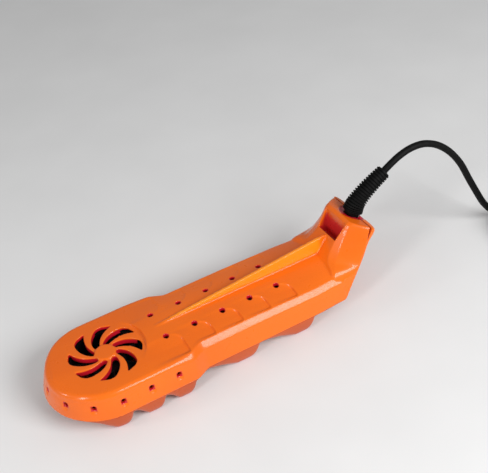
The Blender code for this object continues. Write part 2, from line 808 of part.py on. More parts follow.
def lower_housing(material):
    """Lower half of the housing: waved tray and the neck's rear plate."""
    piece = add_piece("lower_housing", lower_form("lower_housing"), material)
    cut(piece, lower_form("lower_space", LOWER_WALL, LOWER_WALL, PARTING + 1.0))
    join(piece, rear_form("rear_plate"))
    for k, (x, y) in enumerate(SCREW_PLACES):
        foot = PARTING - LOWER_FLAT
        top = BOSS_MEET - SEAM_GAP
        join(piece, rod_mesh(f"lower_boss_{k + 1}", BOSS_RADIUS, top - foot, 16), (x, y, (top + foot) / 2.0))
        cut(piece, rod_mesh(f"lower_hole_{k + 1}", SCREW_HOLE, 12.0, 12), (x, y, foot))
        cut(piece, rod_mesh(f"lower_recess_{k + 1}", SCREW_HEAD + 0.4, 10.0, 16), (x, y, foot + 1.8 - 5.0))
    cut_exit(piece, "lower")
    return piece


def housing_screws(material):
    """Five self-tapping screws that close the housing."""
    for k, (x, y) in enumerate(SCREW_PLACES):
        head_low = PARTING - LOWER_FLAT + 0.1
        head_high = PARTING - LOWER_FLAT + 1.5
        tip = BOSS_MEET + 6.4
        profile = [
            (0.0, tip),
            (SCREW_SHANK * 0.5, tip - 0.6),
            (SCREW_SHANK, tip - 1.6),
            (SCREW_SHANK, head_high),
            (SCREW_HEAD, head_high),
            (SCREW_HEAD, head_low + 0.5),
            (SCREW_HEAD - 0.5, head_low),
            (0.7, head_low),
            (0.0, head_low + 0.7),
        ]
        turned(f"housing_screw_{k + 1}", profile, material, (x, y, 0.0), 12)


# ---------------------------------------------------------------------------------------------
# Fan
# ---------------------------------------------------------------------------------------------


def square_outline(half, corner, steps=3):
    """A square with round corners."""
    points = []
    for quarter in range(4):
        turn = quarter * math.pi / 2.0
        centre = (half - corner) * math.sqrt(2.0)
        middle = (centre * math.cos(turn + math.pi / 4.0), centre * math.sin(turn + math.pi / 4.0))
        for k in range(steps + 1):
            angle = turn + math.pi / 2.0 * k / steps
            points.append((middle[0] + corner * math.cos(angle), middle[1] + corner * math.sin(angle)))
    return points


def fan_gasket(material):
    """Foam ring between the fan and the grille."""
    top = FAN_TOP + SEAM_GAP + 0.9
    mesh = extruded("fan_gasket", square_outline(FAN_SIDE / 2.0 - 0.3, 2.5), FAN_TOP + SEAM_GAP, top)
    piece = add_piece("fan_gasket", mesh, material)
    cut(piece, rod_mesh("gasket_bore", FAN_BORE - 0.4, 6.0, 36), (0.0, 0.0, top))
    return piece


def fan_frame(material):
    """Square frame with the bore, four struts, the hub plate and the bearing tube."""
    foot = FAN_TOP - FAN_DEPTH
    body = extruded("fan_frame", square_outline(FAN_SIDE / 2.0, 3.0), foot, FAN_TOP)
    piece = add_piece("fan_frame", body, material)
    cut(piece, rod_mesh("fan_bore", FAN_BORE, 14.0, 36), (0.0, 0.0, foot + FAN_DEPTH / 2.0))
    strut = 1.4
    for k in range(4):
        turn = math.pi / 4.0 + k * math.pi / 2.0
        mesh = block_mesh(f"fan_strut_{k + 1}", (12.0, 1.8, strut))
        middle = (15.0 * math.cos(turn), 15.0 * math.sin(turn), foot + strut / 2.0 + 0.02)
        tool = add_tool(mesh.name, mesh, middle)
        tool.rotation_euler = (0.0, 0.0, turn)
        combine(piece, tool, "UNION")
    join(piece, rod_mesh("fan_hub_plate", FAN_HUB - 0.6, strut, 28), (0.0, 0.0, foot + strut / 2.0))
    join(piece, rod_mesh("fan_bearing_tube", 3.0, 7.0, 16), (0.0, 0.0, foot + 3.5 + 0.4))
    cut(piece, rod_mesh("fan_bearing_seat", 2.2, 9.0, 16), (0.0, 0.0, foot + 5.2))
    for x in (-FAN_HOLE_AT, FAN_HOLE_AT):
        for y in (-FAN_HOLE_AT, FAN_HOLE_AT):
            name = f"fan_corner_hole_{'heel' if x > 0 else 'toe'}_{'far' if y > 0 else 'near'}"
            cut(piece, rod_mesh(name, 1.7, 14.0, 12), (x, y, foot + FAN_DEPTH / 2.0))
    return piece


def fan_screws(material):
    """Two screws through opposite corners of the fan."""
    foot = FAN_TOP - FAN_DEPTH
    for k, side in enumerate((-1.0, 1.0)):
        profile = [
            (0.0, FAN_TOP + 0.1),
            (1.3, FAN_TOP - 0.8),
            (1.3, foot - 0.3),
            (2.4, foot - 0.3),
            (2.4, foot - 1.1),
            (0.6, foot - 1.2),
            (0.0, foot - 0.8),
        ]
        turned(f"fan_screw_{k + 1}", profile, material, (side * FAN_HOLE_AT, side * FAN_HOLE_AT, 0.0), 12)


def blade_mesh(name, turn):
    """One slanted fan blade, rooted inside the hub's wall."""
    sections = []
    for radius in (FAN_HUB - 0.5, (FAN_HUB + BLADE_TIP) / 2.0, BLADE_TIP):
        height = BLADE_TOP - BLADE_BOTTOM
        half_angle = height / 2.0 * math.tan(BLADE_SKEW) / radius
        thick = BLADE_THICK / 2.0 / radius
        section = []
        for z, slant in ((BLADE_BOTTOM, -half_angle), (BLADE_TOP, half_angle)):
            for side in (-thick, thick) if z == BLADE_BOTTOM else (thick, -thick):
                angle = turn + slant + side
                section.append((radius * math.cos(angle), radius * math.sin(angle), z))
        sections.append(section)
    return grid_mesh(name, sections)


def fan_impeller(material):
    """Hub cup with its blades."""
    top = FAN_TOP - 0.5
    profile = [
        (0.0, top),
        (FAN_HUB - 0.8, top),
        (FAN_HUB, top - 0.8),
        (FAN_HUB, FAN_TOP - 8.0),
        (FAN_HUB - 0.9, FAN_TOP - 8.0),
        (FAN_HUB - 0.9, top - 1.1),
        (1.8, top - 1.1),
        (1.8, top - 1.6),
        (1.1, top - 1.6),
        (1.1, top - 0.6),
        (0.0, top - 0.6),
    ]
    piece = turned("fan_impeller", profile, material, segments=28, parent="fan_axis")
    for k in range(BLADE_COUNT):
        name = f"fan_blade_{k + 1}"
        join(piece, blade_mesh(name, 2.0 * math.pi * k / BLADE_COUNT))
    return piece


def fan_rotor_parts(steel, magnet):
    """Shaft and magnet ring, which turn with the impeller."""
    shaft_top = FAN_TOP - 1.4
    shaft_foot = FAN_TOP - 8.4
    profile = [(0.0, shaft_top), (0.8, shaft_top), (0.8, shaft_foot), (0.0, shaft_foot)]
    turned("fan_shaft", profile, steel, segments=12, parent="fan_axis")
    high = FAN_TOP - 2.2
    low = FAN_TOP - 7.8
    ring = [(10.0, high), (10.0, low), (8.7, low), (8.7, high)]
    turned("rotor_magnet", ring, magnet, segments=24, parent="fan_axis")


def fan_stator_parts(bronze, copper, board):
    """Bearing sleeve, wound stator and the fan's own board."""
    high = FAN_TOP - 2.6
    low = FAN_TOP - 8.4
    sleeve = [(1.9, high), (1.9, low), (1.1, low), (1.1, high)]
    turned("fan_bearing", sleeve, bronze, segments=16)
    outline = []
    for k in range(4):
        turn = k * math.pi / 2.0
        for radius, angle in ((4.2, -45.0), (4.6, -16.0), (8.1, -30.0), (8.2, 0.0), (8.1, 30.0), (4.6, 16.0)):
            outline.append((radius * math.cos(turn + math.radians(angle)),
                            radius * math.sin(turn + math.radians(angle))))
    stator = add_piece("fan_stator", extruded("fan_stator", outline, FAN_TOP - 7.0, FAN_TOP - 2.8), copper)
    cut(stator, rod_mesh("stator_bore", 3.3, 8.0, 16), (0.0, 0.0, FAN_TOP - 4.9))
    high = FAN_TOP - 7.4
    low = FAN_TOP - 8.2
    disc = [(8.2, high), (8.2, low), (3.3, low), (3.3, high)]
    turned("fan_board", disc, board, segments=24)


# ---------------------------------------------------------------------------------------------
# Heater and electronics
# ---------------------------------------------------------------------------------------------


def heater_parts(frame_material, fin_material, ceramic, switch_material):
    """Heater frame, ceramic element, two finned radiators and the thermal cut-out."""
    middle = (HEATER_Z[0] + HEATER_Z[1]) / 2.0
    y_span = (-HEATER_Y, HEATER_Y)
    frame = block("heater_frame", HEATER_X, y_span, HEATER_Z, frame_material)
    opening = block_mesh("heater_opening", (40.0, HEATER_OPEN_Y * 2.0, HEATER_OPEN_Z * 2.0))
    cut(frame, opening, (sum(HEATER_X) / 2.0, 0.0, middle))
    inner = (HEATER_X[0] + 1.0, HEATER_X[1] - 1.0)
    element_half = 1.0
    element_y = (-HEATER_OPEN_Y + 0.3, HEATER_OPEN_Y - 0.3)
    block("heater_element", inner, element_y, (middle - element_half, middle + element_half), ceramic)
    for label, side in (("lower", -1.0), ("upper", 1.0)):
        outline = fin_outline(middle, side, element_half + 0.3)
        mesh = extruded(f"heater_fins_{label}", outline, *inner, plane="YZ")
        add_piece(f"heater_fins_{label}", mesh, fin_material)
    block("thermal_cutout", (HEATER_X[1] + 0.3, HEATER_X[1] + 3.6), (-4.5, 4.5), (middle - 2.0, middle + 2.0),
          switch_material, 0.4)


def fin_outline(middle, side, root):
    """Comb outline of one radiator, its plate against the element."""
    plate = 0.6
    tip = HEATER_OPEN_Z - 0.3
    width = HEATER_OPEN_Y - 0.6
    pitch = 2.0 * width / FIN_COUNT
    points = [(-width, middle + side * root)]
    for k in range(FIN_COUNT):
        left = -width + pitch * k + (0.0 if k == 0 else pitch * 0.3)
        right = -width + pitch * (k + 1) - (0.0 if k == FIN_COUNT - 1 else pitch * 0.3)
        if k:
            points.append((left, middle + side * (root + plate)))
        points.append((left, middle + side * tip))
        points.append((right, middle + side * tip))
        if k < FIN_COUNT - 1:
            points.append((right, middle + side * (root + plate)))
    points.append((width, middle + side * root))
    return points


def electronics(board, black, silver, white):
    """Circuit board with its capacitor, regulator and fan plug, and the two screws that hold it."""
    plate = block("circuit_board", BOARD_X, (-BOARD_Y, BOARD_Y), BOARD_Z, board)
    low = BOARD_Z[0]
    for k, (x, y) in enumerate(BOARD_SCREWS):
        cut(plate, rod_mesh(f"board_hole_{k + 1}", 1.2, 6.0, 12), (x, y, low))
        profile = [
            (0.0, low + 5.0),
            (0.6, low + 4.4),
            (0.6, low - 0.3),
            (2.0, low - 0.3),
            (2.0, low - 1.4),
            (0.0, low - 1.6),
        ]
        turned(f"board_screw_{k + 1}", profile, silver, (x, y, 0.0), 10)
    can = [(0.0, low - 0.3), (3.1, low - 0.3), (3.1, low - 5.0), (2.8, low - 5.3), (0.0, low - 5.3)]
    turned("capacitor", can, black, (115.5, 5.0, 0.0), 16)
    block("regulator", (102.0, 112.0), (-2.4, 1.2), (low - 4.8, low - 0.3), black, 0.3)
    block("fan_plug", (94.6, 100.0), (-9.0, -3.0), (low - 4.6, low - 0.3), white, 0.3)


def inner_leads(red, black):
    """Wires inside the housing: supply, fan and heater."""
    for name, side, material in (("supply_lead_red", 1.0, red), ("supply_lead_black", -1.0, black)):
        y = 1.4 * side
        route = ((156.3, y, 14.3), (154.8, y, 11.0), (152.5, y, 7.2), (150.5, y, 4.0), (147.9, y, 0.4),
                 (143.9, 1.6 * y, -3.6), (137.2, 2.0 * y, -6.6), (129.6, 2.2 * y, -8.2),
                 (BOARD_X[1] + 0.4, 2.2 * y, -8.6))
        tube(name, route, 0.75, 22, material)
    for name, y, material in (("fan_lead_red", -5.0, red), ("fan_lead_black", -7.0, black)):
        route = ((20.5, y, -13.2), (25.0, y, -14.6), (34.0, y, -15.0), (50.0, y, -15.1), (66.0, y, -15.1),
                 (78.0, y, -14.8), (87.0, y, -13.4), (94.2, y, -12.0))
        tube(name, route, 0.55, 22, material)
    for name, y, material in (("heater_lead_red", 9.6, red), ("heater_lead_black", -9.6, black)):
        route = ((HEATER_X[1] + 0.4, y, -8.9), (74.0, y, -9.6), (82.0, y, -10.0), (BOARD_X[0] - 0.4, y, -8.6))
        tube(name, route, 0.75, 12, material)


# ---------------------------------------------------------------------------------------------
# Cord
# ---------------------------------------------------------------------------------------------


def swept(name, route, radii, segments, material):
    """A round body whose radius changes along a curved middle line."""
    sections = []
    points = [Vector(point) for point in route]
    for k, point in enumerate(points):
        ahead = points[min(k + 1, len(points) - 1)] - points[max(k - 1, 0)]
        ahead.normalize()
        side = Vector((0.0, 1.0, 0.0))
        up = ahead.cross(side).normalized()
        side = up.cross(ahead).normalized()
        ring = []
        for m in range(segments):
            angle = 2.0 * math.pi * m / segments
            ring.append(tuple(point + radii[k] * (math.cos(angle) * side + math.sin(angle) * up)))
        sections.append(ring)
    return add_piece(name, grid_mesh(name, sections), material)


def strain_relief(material):
    """Tapered sleeve on the cord, with a waist in the exit hole and a flange inside it."""
    waist = EXIT_HOLE - 0.35
    route = [exit_point(5.7), exit_point(3.9), exit_point(3.88), exit_point(-0.5)]
    radii = [5.4, 5.4, waist, waist]
    outside = [exit_point(-0.8)] + [(x, 0.0, z) for x, z in RELIEF_PATH]
    count = 12
    for k, point in enumerate(spline_points(outside, count)):
        route.append(tuple(point))
        radii.append(RELIEF_BASE + (RELIEF_TIP - RELIEF_BASE) * k / (count - 1))
    return swept("strain_relief", route, radii, 16, material)


def cord(material):
    """Free stretch of the cord, from the strain relief down to the floor beside the coil."""
    return tube("cord", CORD_ROUTE, CORD / 2.0, 52, material)


def cord_coil(material):
    """Outer shape of the wound length of cord."""
    inner = COIL_RADIUS - COIL_TURN * COIL_COUNT / 2.0
    outer = COIL_RADIUS + COIL_TURN * COIL_COUNT / 2.0
    high = COIL_FOOT + COIL_TURN * COIL_COUNT
    soft = 1.5
    profile = [
        (inner + soft, high),
        (outer - soft, high),
        (outer, high - soft),
        (outer, COIL_FOOT + soft),
        (outer - soft, COIL_FOOT),
        (inner + soft, COIL_FOOT),
        (inner, COIL_FOOT + soft),
        (inner, high - soft),
    ]
    return turned("cord_coil", profile, material, (*COIL_CENTRE, 0.0), 36)


def coil_tie(material):
    """Hook-and-loop strap closed round the coil's turns."""
    wound = COIL_TURN * COIL_COUNT / 2.0
    outer = square_outline(wound + TIE_GAP + TIE_THICK, 2.2)
    inner = square_outline(wound + TIE_GAP, 1.4)
    middle = (
        COIL_CENTRE[0] + COIL_RADIUS * math.cos(TIE_TURN),
        COIL_CENTRE[1] + COIL_RADIUS * math.sin(TIE_TURN),
        COIL_FOOT + wound,
    )
    mesh = extruded("coil_tie", outer, -TIE_WIDTH / 2.0, TIE_WIDTH / 2.0, "XZ")
    piece = add_piece("coil_tie", mesh, material, middle)
    piece.rotation_euler = (0.0, 0.0, TIE_TURN)
    cut(piece, extruded("tie_opening", inner, -TIE_WIDTH, TIE_WIDTH, "XZ"), middle, (0.0, 0.0, TIE_TURN))


def plug(material, metal, insert):
    """Barrel plug: moulded body with a short sleeve, metal barrel and its insulating core."""
    body = [
        (0.0, 0.0),
        (2.4, 0.0),
        (3.1, -1.0),
        (4.2, -10.0),
        (PLUG_RADIUS, -12.0),
        (PLUG_RADIUS, -26.0),
        (4.4, -27.0),
        (0.0, -27.0),
    ]
    barrel = [
        (0.0, -27.3),
        (2.75, -27.3),
        (2.75, -36.4),
        (2.4, -36.8),
        (1.9, -36.8),
        (1.9, -28.3),
        (0.0, -28.3),
    ]
    core = [(0.0, -28.6), (1.6, -28.6), (1.6, -36.6), (1.05, -36.6), (1.05, -29.4), (0.0, -29.4)]
    place = (PLUG_START, PLUG_Y, FLOOR + CORD_LIFT + PLUG_RADIUS)
    for name, profile, finish in (
        ("plug_body", body, material),
        ("plug_barrel", barrel, metal),
        ("plug_insert", core, insert),
    ):
        piece = turned(name, profile, finish, place, 20)
        piece.rotation_euler = (0.0, math.pi / 2.0, 0.0)


def build():
    """Make every piece of the boot dryer."""
    clear_scene()
    scene = bpy.context.scene.collection
    for label in ("boot_dryer", "cutters"):
        scene.children.link(bpy.data.collections.new(label))
    for label in ("dryer", "fan_axis"):
        empty = bpy.data.objects.new(label, None)
        empty.location = Vector((GRILLE_X, 0.0, GRILLE_Z)) * MM
        bpy.data.collections["boot_dryer"].objects.link(empty)
    orange = make_material("orange_plastic", (0.83, 0.15, 0.012), 0.22)
    deep_orange = make_material("orange_plastic_lower", (0.78, 0.11, 0.015), 0.28)
    rubber = make_material("black_rubber", (0.012, 0.012, 0.013), 0.55)
    black = make_material("black_plastic", (0.02, 0.02, 0.022), 0.4)
    foam = make_material("grey_foam", (0.08, 0.08, 0.085), 0.95)
    steel = make_material("zinc_steel", (0.62, 0.62, 0.6), 0.35, 1.0)
    magnet = make_material("ferrite", (0.06, 0.06, 0.065), 0.6, 0.2)
    bronze = make_material("sintered_bronze", (0.45, 0.28, 0.12), 0.5, 1.0)
    copper = make_material("enamelled_copper", (0.6, 0.22, 0.08), 0.35, 1.0)
    laminate = make_material("green_laminate", (0.02, 0.16, 0.06), 0.45)
    aluminium = make_material("aluminium", (0.75, 0.76, 0.77), 0.4, 1.0)
    ceramic = make_material("ceramic", (0.75, 0.72, 0.66), 0.6)
    mica = make_material("mica_board", (0.5, 0.42, 0.3), 0.6)
    white = make_material("white_nylon", (0.8, 0.79, 0.75), 0.4)
    red_wire = make_material("red_insulation", (0.5, 0.02, 0.02), 0.45)
    nickel = make_material("nickel_plate", (0.7, 0.68, 0.64), 0.2, 1.0)
    upper_housing(orange)
    lower_housing(deep_orange)
    housing_screws(steel)
    fan_gasket(foam)
    fan_frame(black)
    fan_screws(steel)
    fan_impeller(black)
    fan_rotor_parts(steel, magnet)
    fan_stator_parts(bronze, copper, laminate)
    heater_parts(mica, aluminium, ceramic, white)
    electronics(laminate, black, steel, white)
    inner_leads(red_wire, black)
    strain_relief(rubber)
    cord(rubber)
    cord_coil(rubber)
    coil_tie(foam)
    plug(rubber, nickel, black)


build()
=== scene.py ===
"""Looks of the boot dryer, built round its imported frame.

Sizes are in millimetres and are turned into metres by MM. Housing shapes are measured from the middle of
the grille: x towards the heel, y across the unit, z up from the grille's face.
"""

import math

import bmesh
import bpy
from mathutils import Matrix, Vector


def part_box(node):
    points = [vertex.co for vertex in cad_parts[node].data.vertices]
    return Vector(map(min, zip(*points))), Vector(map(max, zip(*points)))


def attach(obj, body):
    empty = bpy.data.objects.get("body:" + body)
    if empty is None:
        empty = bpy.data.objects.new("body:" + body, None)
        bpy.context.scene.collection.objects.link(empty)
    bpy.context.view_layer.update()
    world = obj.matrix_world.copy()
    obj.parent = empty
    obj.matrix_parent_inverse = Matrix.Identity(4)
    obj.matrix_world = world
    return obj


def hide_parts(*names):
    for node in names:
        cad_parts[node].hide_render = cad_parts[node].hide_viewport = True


MM = 0.001
UP = Vector((0.0, 0.0, 1.0))

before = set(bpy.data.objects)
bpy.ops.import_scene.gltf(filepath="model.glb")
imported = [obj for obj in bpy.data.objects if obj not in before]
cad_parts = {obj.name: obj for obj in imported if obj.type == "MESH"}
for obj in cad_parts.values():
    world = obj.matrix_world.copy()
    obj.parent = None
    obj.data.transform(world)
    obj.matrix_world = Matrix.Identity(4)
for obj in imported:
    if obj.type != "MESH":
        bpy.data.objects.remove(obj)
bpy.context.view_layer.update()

FAN_LOW, FAN_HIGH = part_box("fan_impeller")
GRILLE_HEIGHT = 26.0
GRILLE = Vector(((FAN_LOW[0] + FAN_HIGH[0]) / 2.0, (FAN_LOW[1] + FAN_HIGH[1]) / 2.0, GRILLE_HEIGHT * MM))

# Camera: angles in degrees, lengths in millimetres
CAMERA_AZIMUTH = -25.538
CAMERA_ELEVATION = 38.606
CAMERA_ROLL = -7.159
CAMERA_DISTANCE = 516.588
CAMERA_SIDE = 74.424
CAMERA_RISE = 61.801
CAMERA_SENSOR = 36.0
CAMERA_LENS = 71.15

# Housing, plan view
TOE_X = -4.0
HEAD_HALF = 33.0
SHANK_HALF = 28.7
SHANK_END_HALF = 27.7
NECK_IN = (36.5, 48.0)
TAPER_START = 116.0
BODY_END = 138.0
END_ROUND = 1.6
CAVITY_END = 134.5

# Housing, side view
PARTING = -15.5
SEAM_GAP = 0.3
WALL = 2.2
ROOF = 2.4
EDGE_Z = -0.6
EDGE_INSET = 6.2
SIDE_PROFILE = ((0.0, PARTING), (1.85, -8.0), (2.9, -4.4))
BEVEL_ACROSS = 3.3
BEVEL_DOWN = 3.8
CHAMFER_SPAN = (22.0, 44.0)
CHAMFER_SHARE = 0.85
CROWN_HEAD = 0.6
CROWN_SHANK = 2.6
CROWN_SPAN = (6.0, 34.0)
TOE_DROP = 1.8
TOE_DROP_SPAN = (21.0, 37.0)
TOE_DROP_FOOT = -8.0
END_DROP = 1.1
END_DROP_SPAN = (70.0, 134.0)
END_DROP_FOOT = -9.0

# Scallops and air holes
HOLE_COUNT = 5
HOLE_X = 32.0
HOLE_PITCH = 17.4
HOLE_Y = 9.9
HOLE_RADIUS = 1.5
SCALLOP_LEAN = 7.0
SCALLOP_REACH = 7.0
SCALLOP_DEPTH = 1.5
FIRST_SCALLOP_START = 16.0
SCALLOP_FADE = (0.36, 0.68)
SCALLOP_RIM = (0.9, 1.0)
SCALLOP_FAR = 0.3
SIDE_HOLE_Z = -8.0
SIDE_HOLE_PITCH = 16.2
SIDE_HOLE_RADIUS = 1.35
DIMPLE_BALL = 4.6
DIMPLE_DEPTH = 0.7

# Grille: its slots' two sides as (radius, degrees), from the hub outwards and back
GRILLE_RECESS = 22.4
GRILLE_FLOOR = 0.08
SLOT_COUNT = 8
HUB_DISC = 5.8
HUB_RISE = 0.3
DISH_FLOOR = 5.0
DISH_RIM = 13.5
DISH_DEPTH = 0.6
BARS_RADIUS = 18.6
BARS_FOOT = -3.9
BARS_TOP = -1.0
SLOT_LEAD = ((5.7, 25.0), (7.0, 31.5), (9.5, 24.5), (12.5, 15.2), (15.5, 5.6), (18.4, -3.6), (19.6, -9.0),
             (20.3, -17.0))
SLOT_TRAIL = ((20.3, -32.5), (17.4, -25.3), (14.5, -17.8), (11.5, -9.8), (8.8, -3.0), (7.0, 3.5), (5.7, 14.0))

# Centre rib
RIB_START = 30.0
RIB_END = 141.5
RIB_START_Z = 2.1
RIB_END_Z = 12.0
RIB_FOOT = 1.9
RIB_TOP = 0.9

# Neck, from its foot up: front point and seam point in side view, half-width of its flat front, width of its
# bevel, half-width at the seam
NECK_RINGS = (
    ((122.0, -15.5), (137.6, -15.5), 21.0, 3.4, 27.2),
    ((129.0, -6.0), (143.2, -7.5), 22.4, 1.6, 25.8),
    ((132.8, 0.4), (148.0, -1.5), 19.6, 1.6, 24.2),
    ((135.2, 3.2), (150.3, 1.5), 12.4, 4.0, 23.2),
    ((138.0, 6.4), (152.4, 4.4), 10.0, 4.5, 22.5),
    ((141.6, 10.6), (155.8, 9.6), 8.8, 4.1, 21.2),
    ((144.2, 14.0), (157.5, 12.4), 8.9, 3.5, 20.5),
    ((147.4, 18.2), (159.3, 16.0), 9.5, 2.8, 19.3),
    ((149.8, 21.3), (160.6, 18.2), 10.2, 2.2, 18.6),
    ((152.2, 22.7), (161.2, 19.1), 10.2, 2.0, 18.0),
)
NECK_BEVEL_SLOPE = 0.6
NECK_SWELL = 0.3
NECK_WALL = 2.2
NECK_WALL_X = 2.7
NECK_PLATE = 3.2
NECK_OPEN = 4.0

# Rear plate of the neck, from its foot up: inner point and outer point in side view, half-width
REAR_RINGS = (
    ((131.0, -16.6), (138.6, -17.4), 22.0),
    ((138.6, -15.8), (141.4, -15.9), 24.2),
    ((143.5, -7.5), (146.3, -8.4), 24.3),
    ((148.3, -1.5), (150.9, -2.6), 23.0),
    ((152.7, 4.3), (155.2, 3.0), 21.6),
    ((156.1, 9.5), (158.6, 7.8), 20.3),
    ((157.9, 12.3), (161.4, 9.8), 19.4),
    ((160.0, 15.6), (163.8, 12.8), 19.6),
    ((161.4, 17.7), (164.7, 15.6), 19.8),
    ((162.0, 18.7), (164.7, 17.2), 19.5),
)
REAR_ROUND = 6.0
REAR_ROUND_SHARE = 0.8

# Pocket in the front of the neck, side view
POCKET_LIP_HALF = 8.3
POCKET_TOP_HALF = 9.6
POCKET_OUTLINE = ((143.0, 12.2), (143.6, 6.0), (148.0, 6.0), (150.3, 21.2), (147.0, 26.0), (139.4, 14.0))
POCKET_WALLS = ((143.4, 11.6), (141.8, 9.6), (141.2, 4.8), (149.4, 4.8), (151.9, 20.4), (149.2, 20.0))
POCKET_WALL = 1.4

# Cord exit
EXIT = (161.0, 19.2)
EXIT_SLOPE = math.radians(68.0)
EXIT_AXIS = (math.cos(EXIT_SLOPE), 0.0, math.sin(EXIT_SLOPE))
EXIT_HOLE = 4.6
EXIT_RECESS = 8.5
EXIT_RECESS_BACK = 0.9
EXIT_RECESS_DEPTH = 0.8
FLANGE_HOLE = 5.9
FLANGE_SPAN = (3.4, 6.2)

# Waves under the body: where each starts, is deepest, stays deepest and ends
LOWER_FLAT = 1.9
WAVE_DEPTH = 8.3
WAVES = (
    (-24.0, -10.5, -5.5, -1.0),
    (-1.0, 8.0, 13.5, 18.0),
    (18.0, 26.5, 32.0, 36.5),
    (41.0, 65.0, 72.5, 78.5),
    (81.0, 103.0, 109.5, 115.0),
)
LOWER_WALL = 1.8
LOWER_ROWS = ((0.6, 0.0), (1.0, 0.45), (1.6, 0.75), (2.7, 0.94), (4.6, 1.0))
LOWER_END = 137.7
SCREW_PLACES = ((-27.5, 0.0), (38.6, -22.0), (38.6, 22.0), (126.0, -17.0), (126.0, 17.0))
SCREW_HEAD = 2.5
SCREW_HOLE = 1.4
BOSS_RADIUS = 3.4
BOSS_MEET = -12.4
BOSS_TOP = -1.6
PILOT_DEPTH = 8.0

# Mesh fineness
TOE_STEP = 3
STATION_STEP = 0.7
LOWER_STEP = 0.6
TOP_STEP = 0.025
STEP_GAP = 0.2
UPPER_VOXEL = 0.42
LOWER_VOXEL = 0.45
MOST_TRIANGLES = 190000

# Strain relief
RELIEF_PATH = ((163.9, 24.6), (169.4, 29.4), (176.5, 34.0), (184.0, 38.1))
RELIEF_SINK = -1.1
RELIEF_BASE = 6.1
RELIEF_TIP = 4.4
RELIEF_RIBS = 20
RELIEF_GROOVE = 0.9
RELIEF_ROOT = EXIT_HOLE - 0.35
RELIEF_FLANGE = 5.4
RELIEF_FLANGE_SPAN = (3.9, 5.7)
RELIEF_RIM = 0.5

# Cord: its route down to the coil as points in metres, the coil as cells of its section in the order in which
# they fill, and the end of the plug's tail; the coil's angles are in degrees
CORD = 4.2
CORD_ROUTE = (
    (0.11875, 0.0, 0.0643),
    (0.12395, 0.0, 0.0674),
    (0.13035, -0.0002, 0.0706),
    (0.13785, -0.0006, 0.0726),
    (0.14635, -0.0012, 0.0722),
    (0.15535, -0.0022, 0.0682),
    (0.16385, -0.0036, 0.0606),
    (0.17085, -0.0054, 0.0504),
    (0.17615, -0.0074, 0.0384),
    (0.18155, -0.0092, 0.0266),
    (0.18735, -0.0103, 0.0156),
    (0.19455, -0.0109, 0.0072),
    (0.20295, -0.0110, 0.0031),
    (0.21085, -0.0110, 0.0023),
    (0.21635, -0.0110, 0.0023),
)
COIL_TURN = 4.35
COIL_CELLS = ((0, 0), (1, 0), (2, 0), (2, 1), (2, 2), (1, 2), (1, 1), (0, 1), (0, 2))
COIL_SHIFT = 32.0
COIL_TURNS = 8.5
COIL_START = 90.0
COIL_STEP = 7.5
COIL_ARRIVE = 75.0
COIL_LEAVE = (150.0, 60.0)
COIL_SINK = (110.0, 5.0)
PLUG_TAIL = Vector((0.21535, -0.0759, 0.0052))

# Strap round the coil: start in degrees, lap as a share of a turn, fit in thicknesses, lift as a share of
# its length, tip and edge as shares of its width
STRAP_WIDTH = 5.0
STRAP_THICK = 0.7
STRAP_START = 35.0
STRAP_LAP = 0.16
STRAP_STEPS = 96
STRAP_FIT = 1.15
STRAP_LIFT_SPAN = 0.07
STRAP_TIP = 0.55
STRAP_TIP_GROWTH = 0.1
STRAP_EDGE = 0.92

# Floor: its level and reach from the middle, in metres
FLOOR_LEVEL = -0.0002
FLOOR_REACH = 3.0

# Lamps: name, spot, target, size in metres, watts; and the strength of the pale surround
LAMPS = (
    ("key", (0.32, -0.66, 0.54), (0.0, 0.0, 0.02), (0.55, 0.4), 6.6),
    ("strip", (-0.70, -0.31, 0.39), (0.0, 0.0, 0.02), (0.15, 0.4), 2.4),
    ("toe", (-0.72, 0.147, 0.297), (-0.07, 0.0, 0.03), (0.1, 0.1), 0.5),
)
SURROUND = 0.34

# ---- Small helpers ----


def place(x, y, z):
    """A point of the housing's millimetres as metres in the frame."""
    return Vector((x, y, z)) * MM + GRILLE


def smoothstep(value, low, high):
    """Ease from 0 at low to 1 at high."""
    t = min(max((value - low) / (high - low), 0.0), 1.0)
    return t * t * (3.0 - 2.0 * t)


def spread(low, high, step):
    """Even values from low to high, about a step apart."""
    count = max(1, round((high - low) / step))
    return [low + (high - low) * k / count for k in range(count + 1)]


def catmull(points, per_span):
    """A smooth line through points of any dimension, with so many steps between neighbours."""
    ends = [[2 * a - b for a, b in zip(points[0], points[1])], *points,
            [2 * a - b for a, b in zip(points[-1], points[-2])]]
    result = []
    for span in range(len(points) - 1):
        a, b, c, d = ends[span:span + 4]
        for k in range(per_span):
            t = k / per_span
            result.append([
                0.5 * (2 * q + (r - p) * t + (2 * p - 5 * q + 4 * r - s) * t ** 2
                       + (3 * q - 3 * r + s - p) * t ** 3)
                for p, q, r, s in zip(a, b, c, d)
            ])
    result.append(list(points[-1]))
    return result


def link(name, data):
    """A new object of the scene."""
    item = bpy.data.objects.new(name, data)
    bpy.context.scene.collection.objects.link(item)
    return item


def form_object(name, form, smooth=35.0):
    """An object from a bmesh, with outward faces."""
    bmesh.ops.remove_doubles(form, verts=form.verts, dist=0.001 * MM)
    bmesh.ops.recalc_face_normals(form, faces=form.faces)
    mesh = bpy.data.meshes.new(name)
    form.to_mesh(mesh)
    form.free()
    mesh.shade_smooth()
    mesh.set_sharp_from_angle(angle=math.radians(smooth))
    return link(name, mesh)


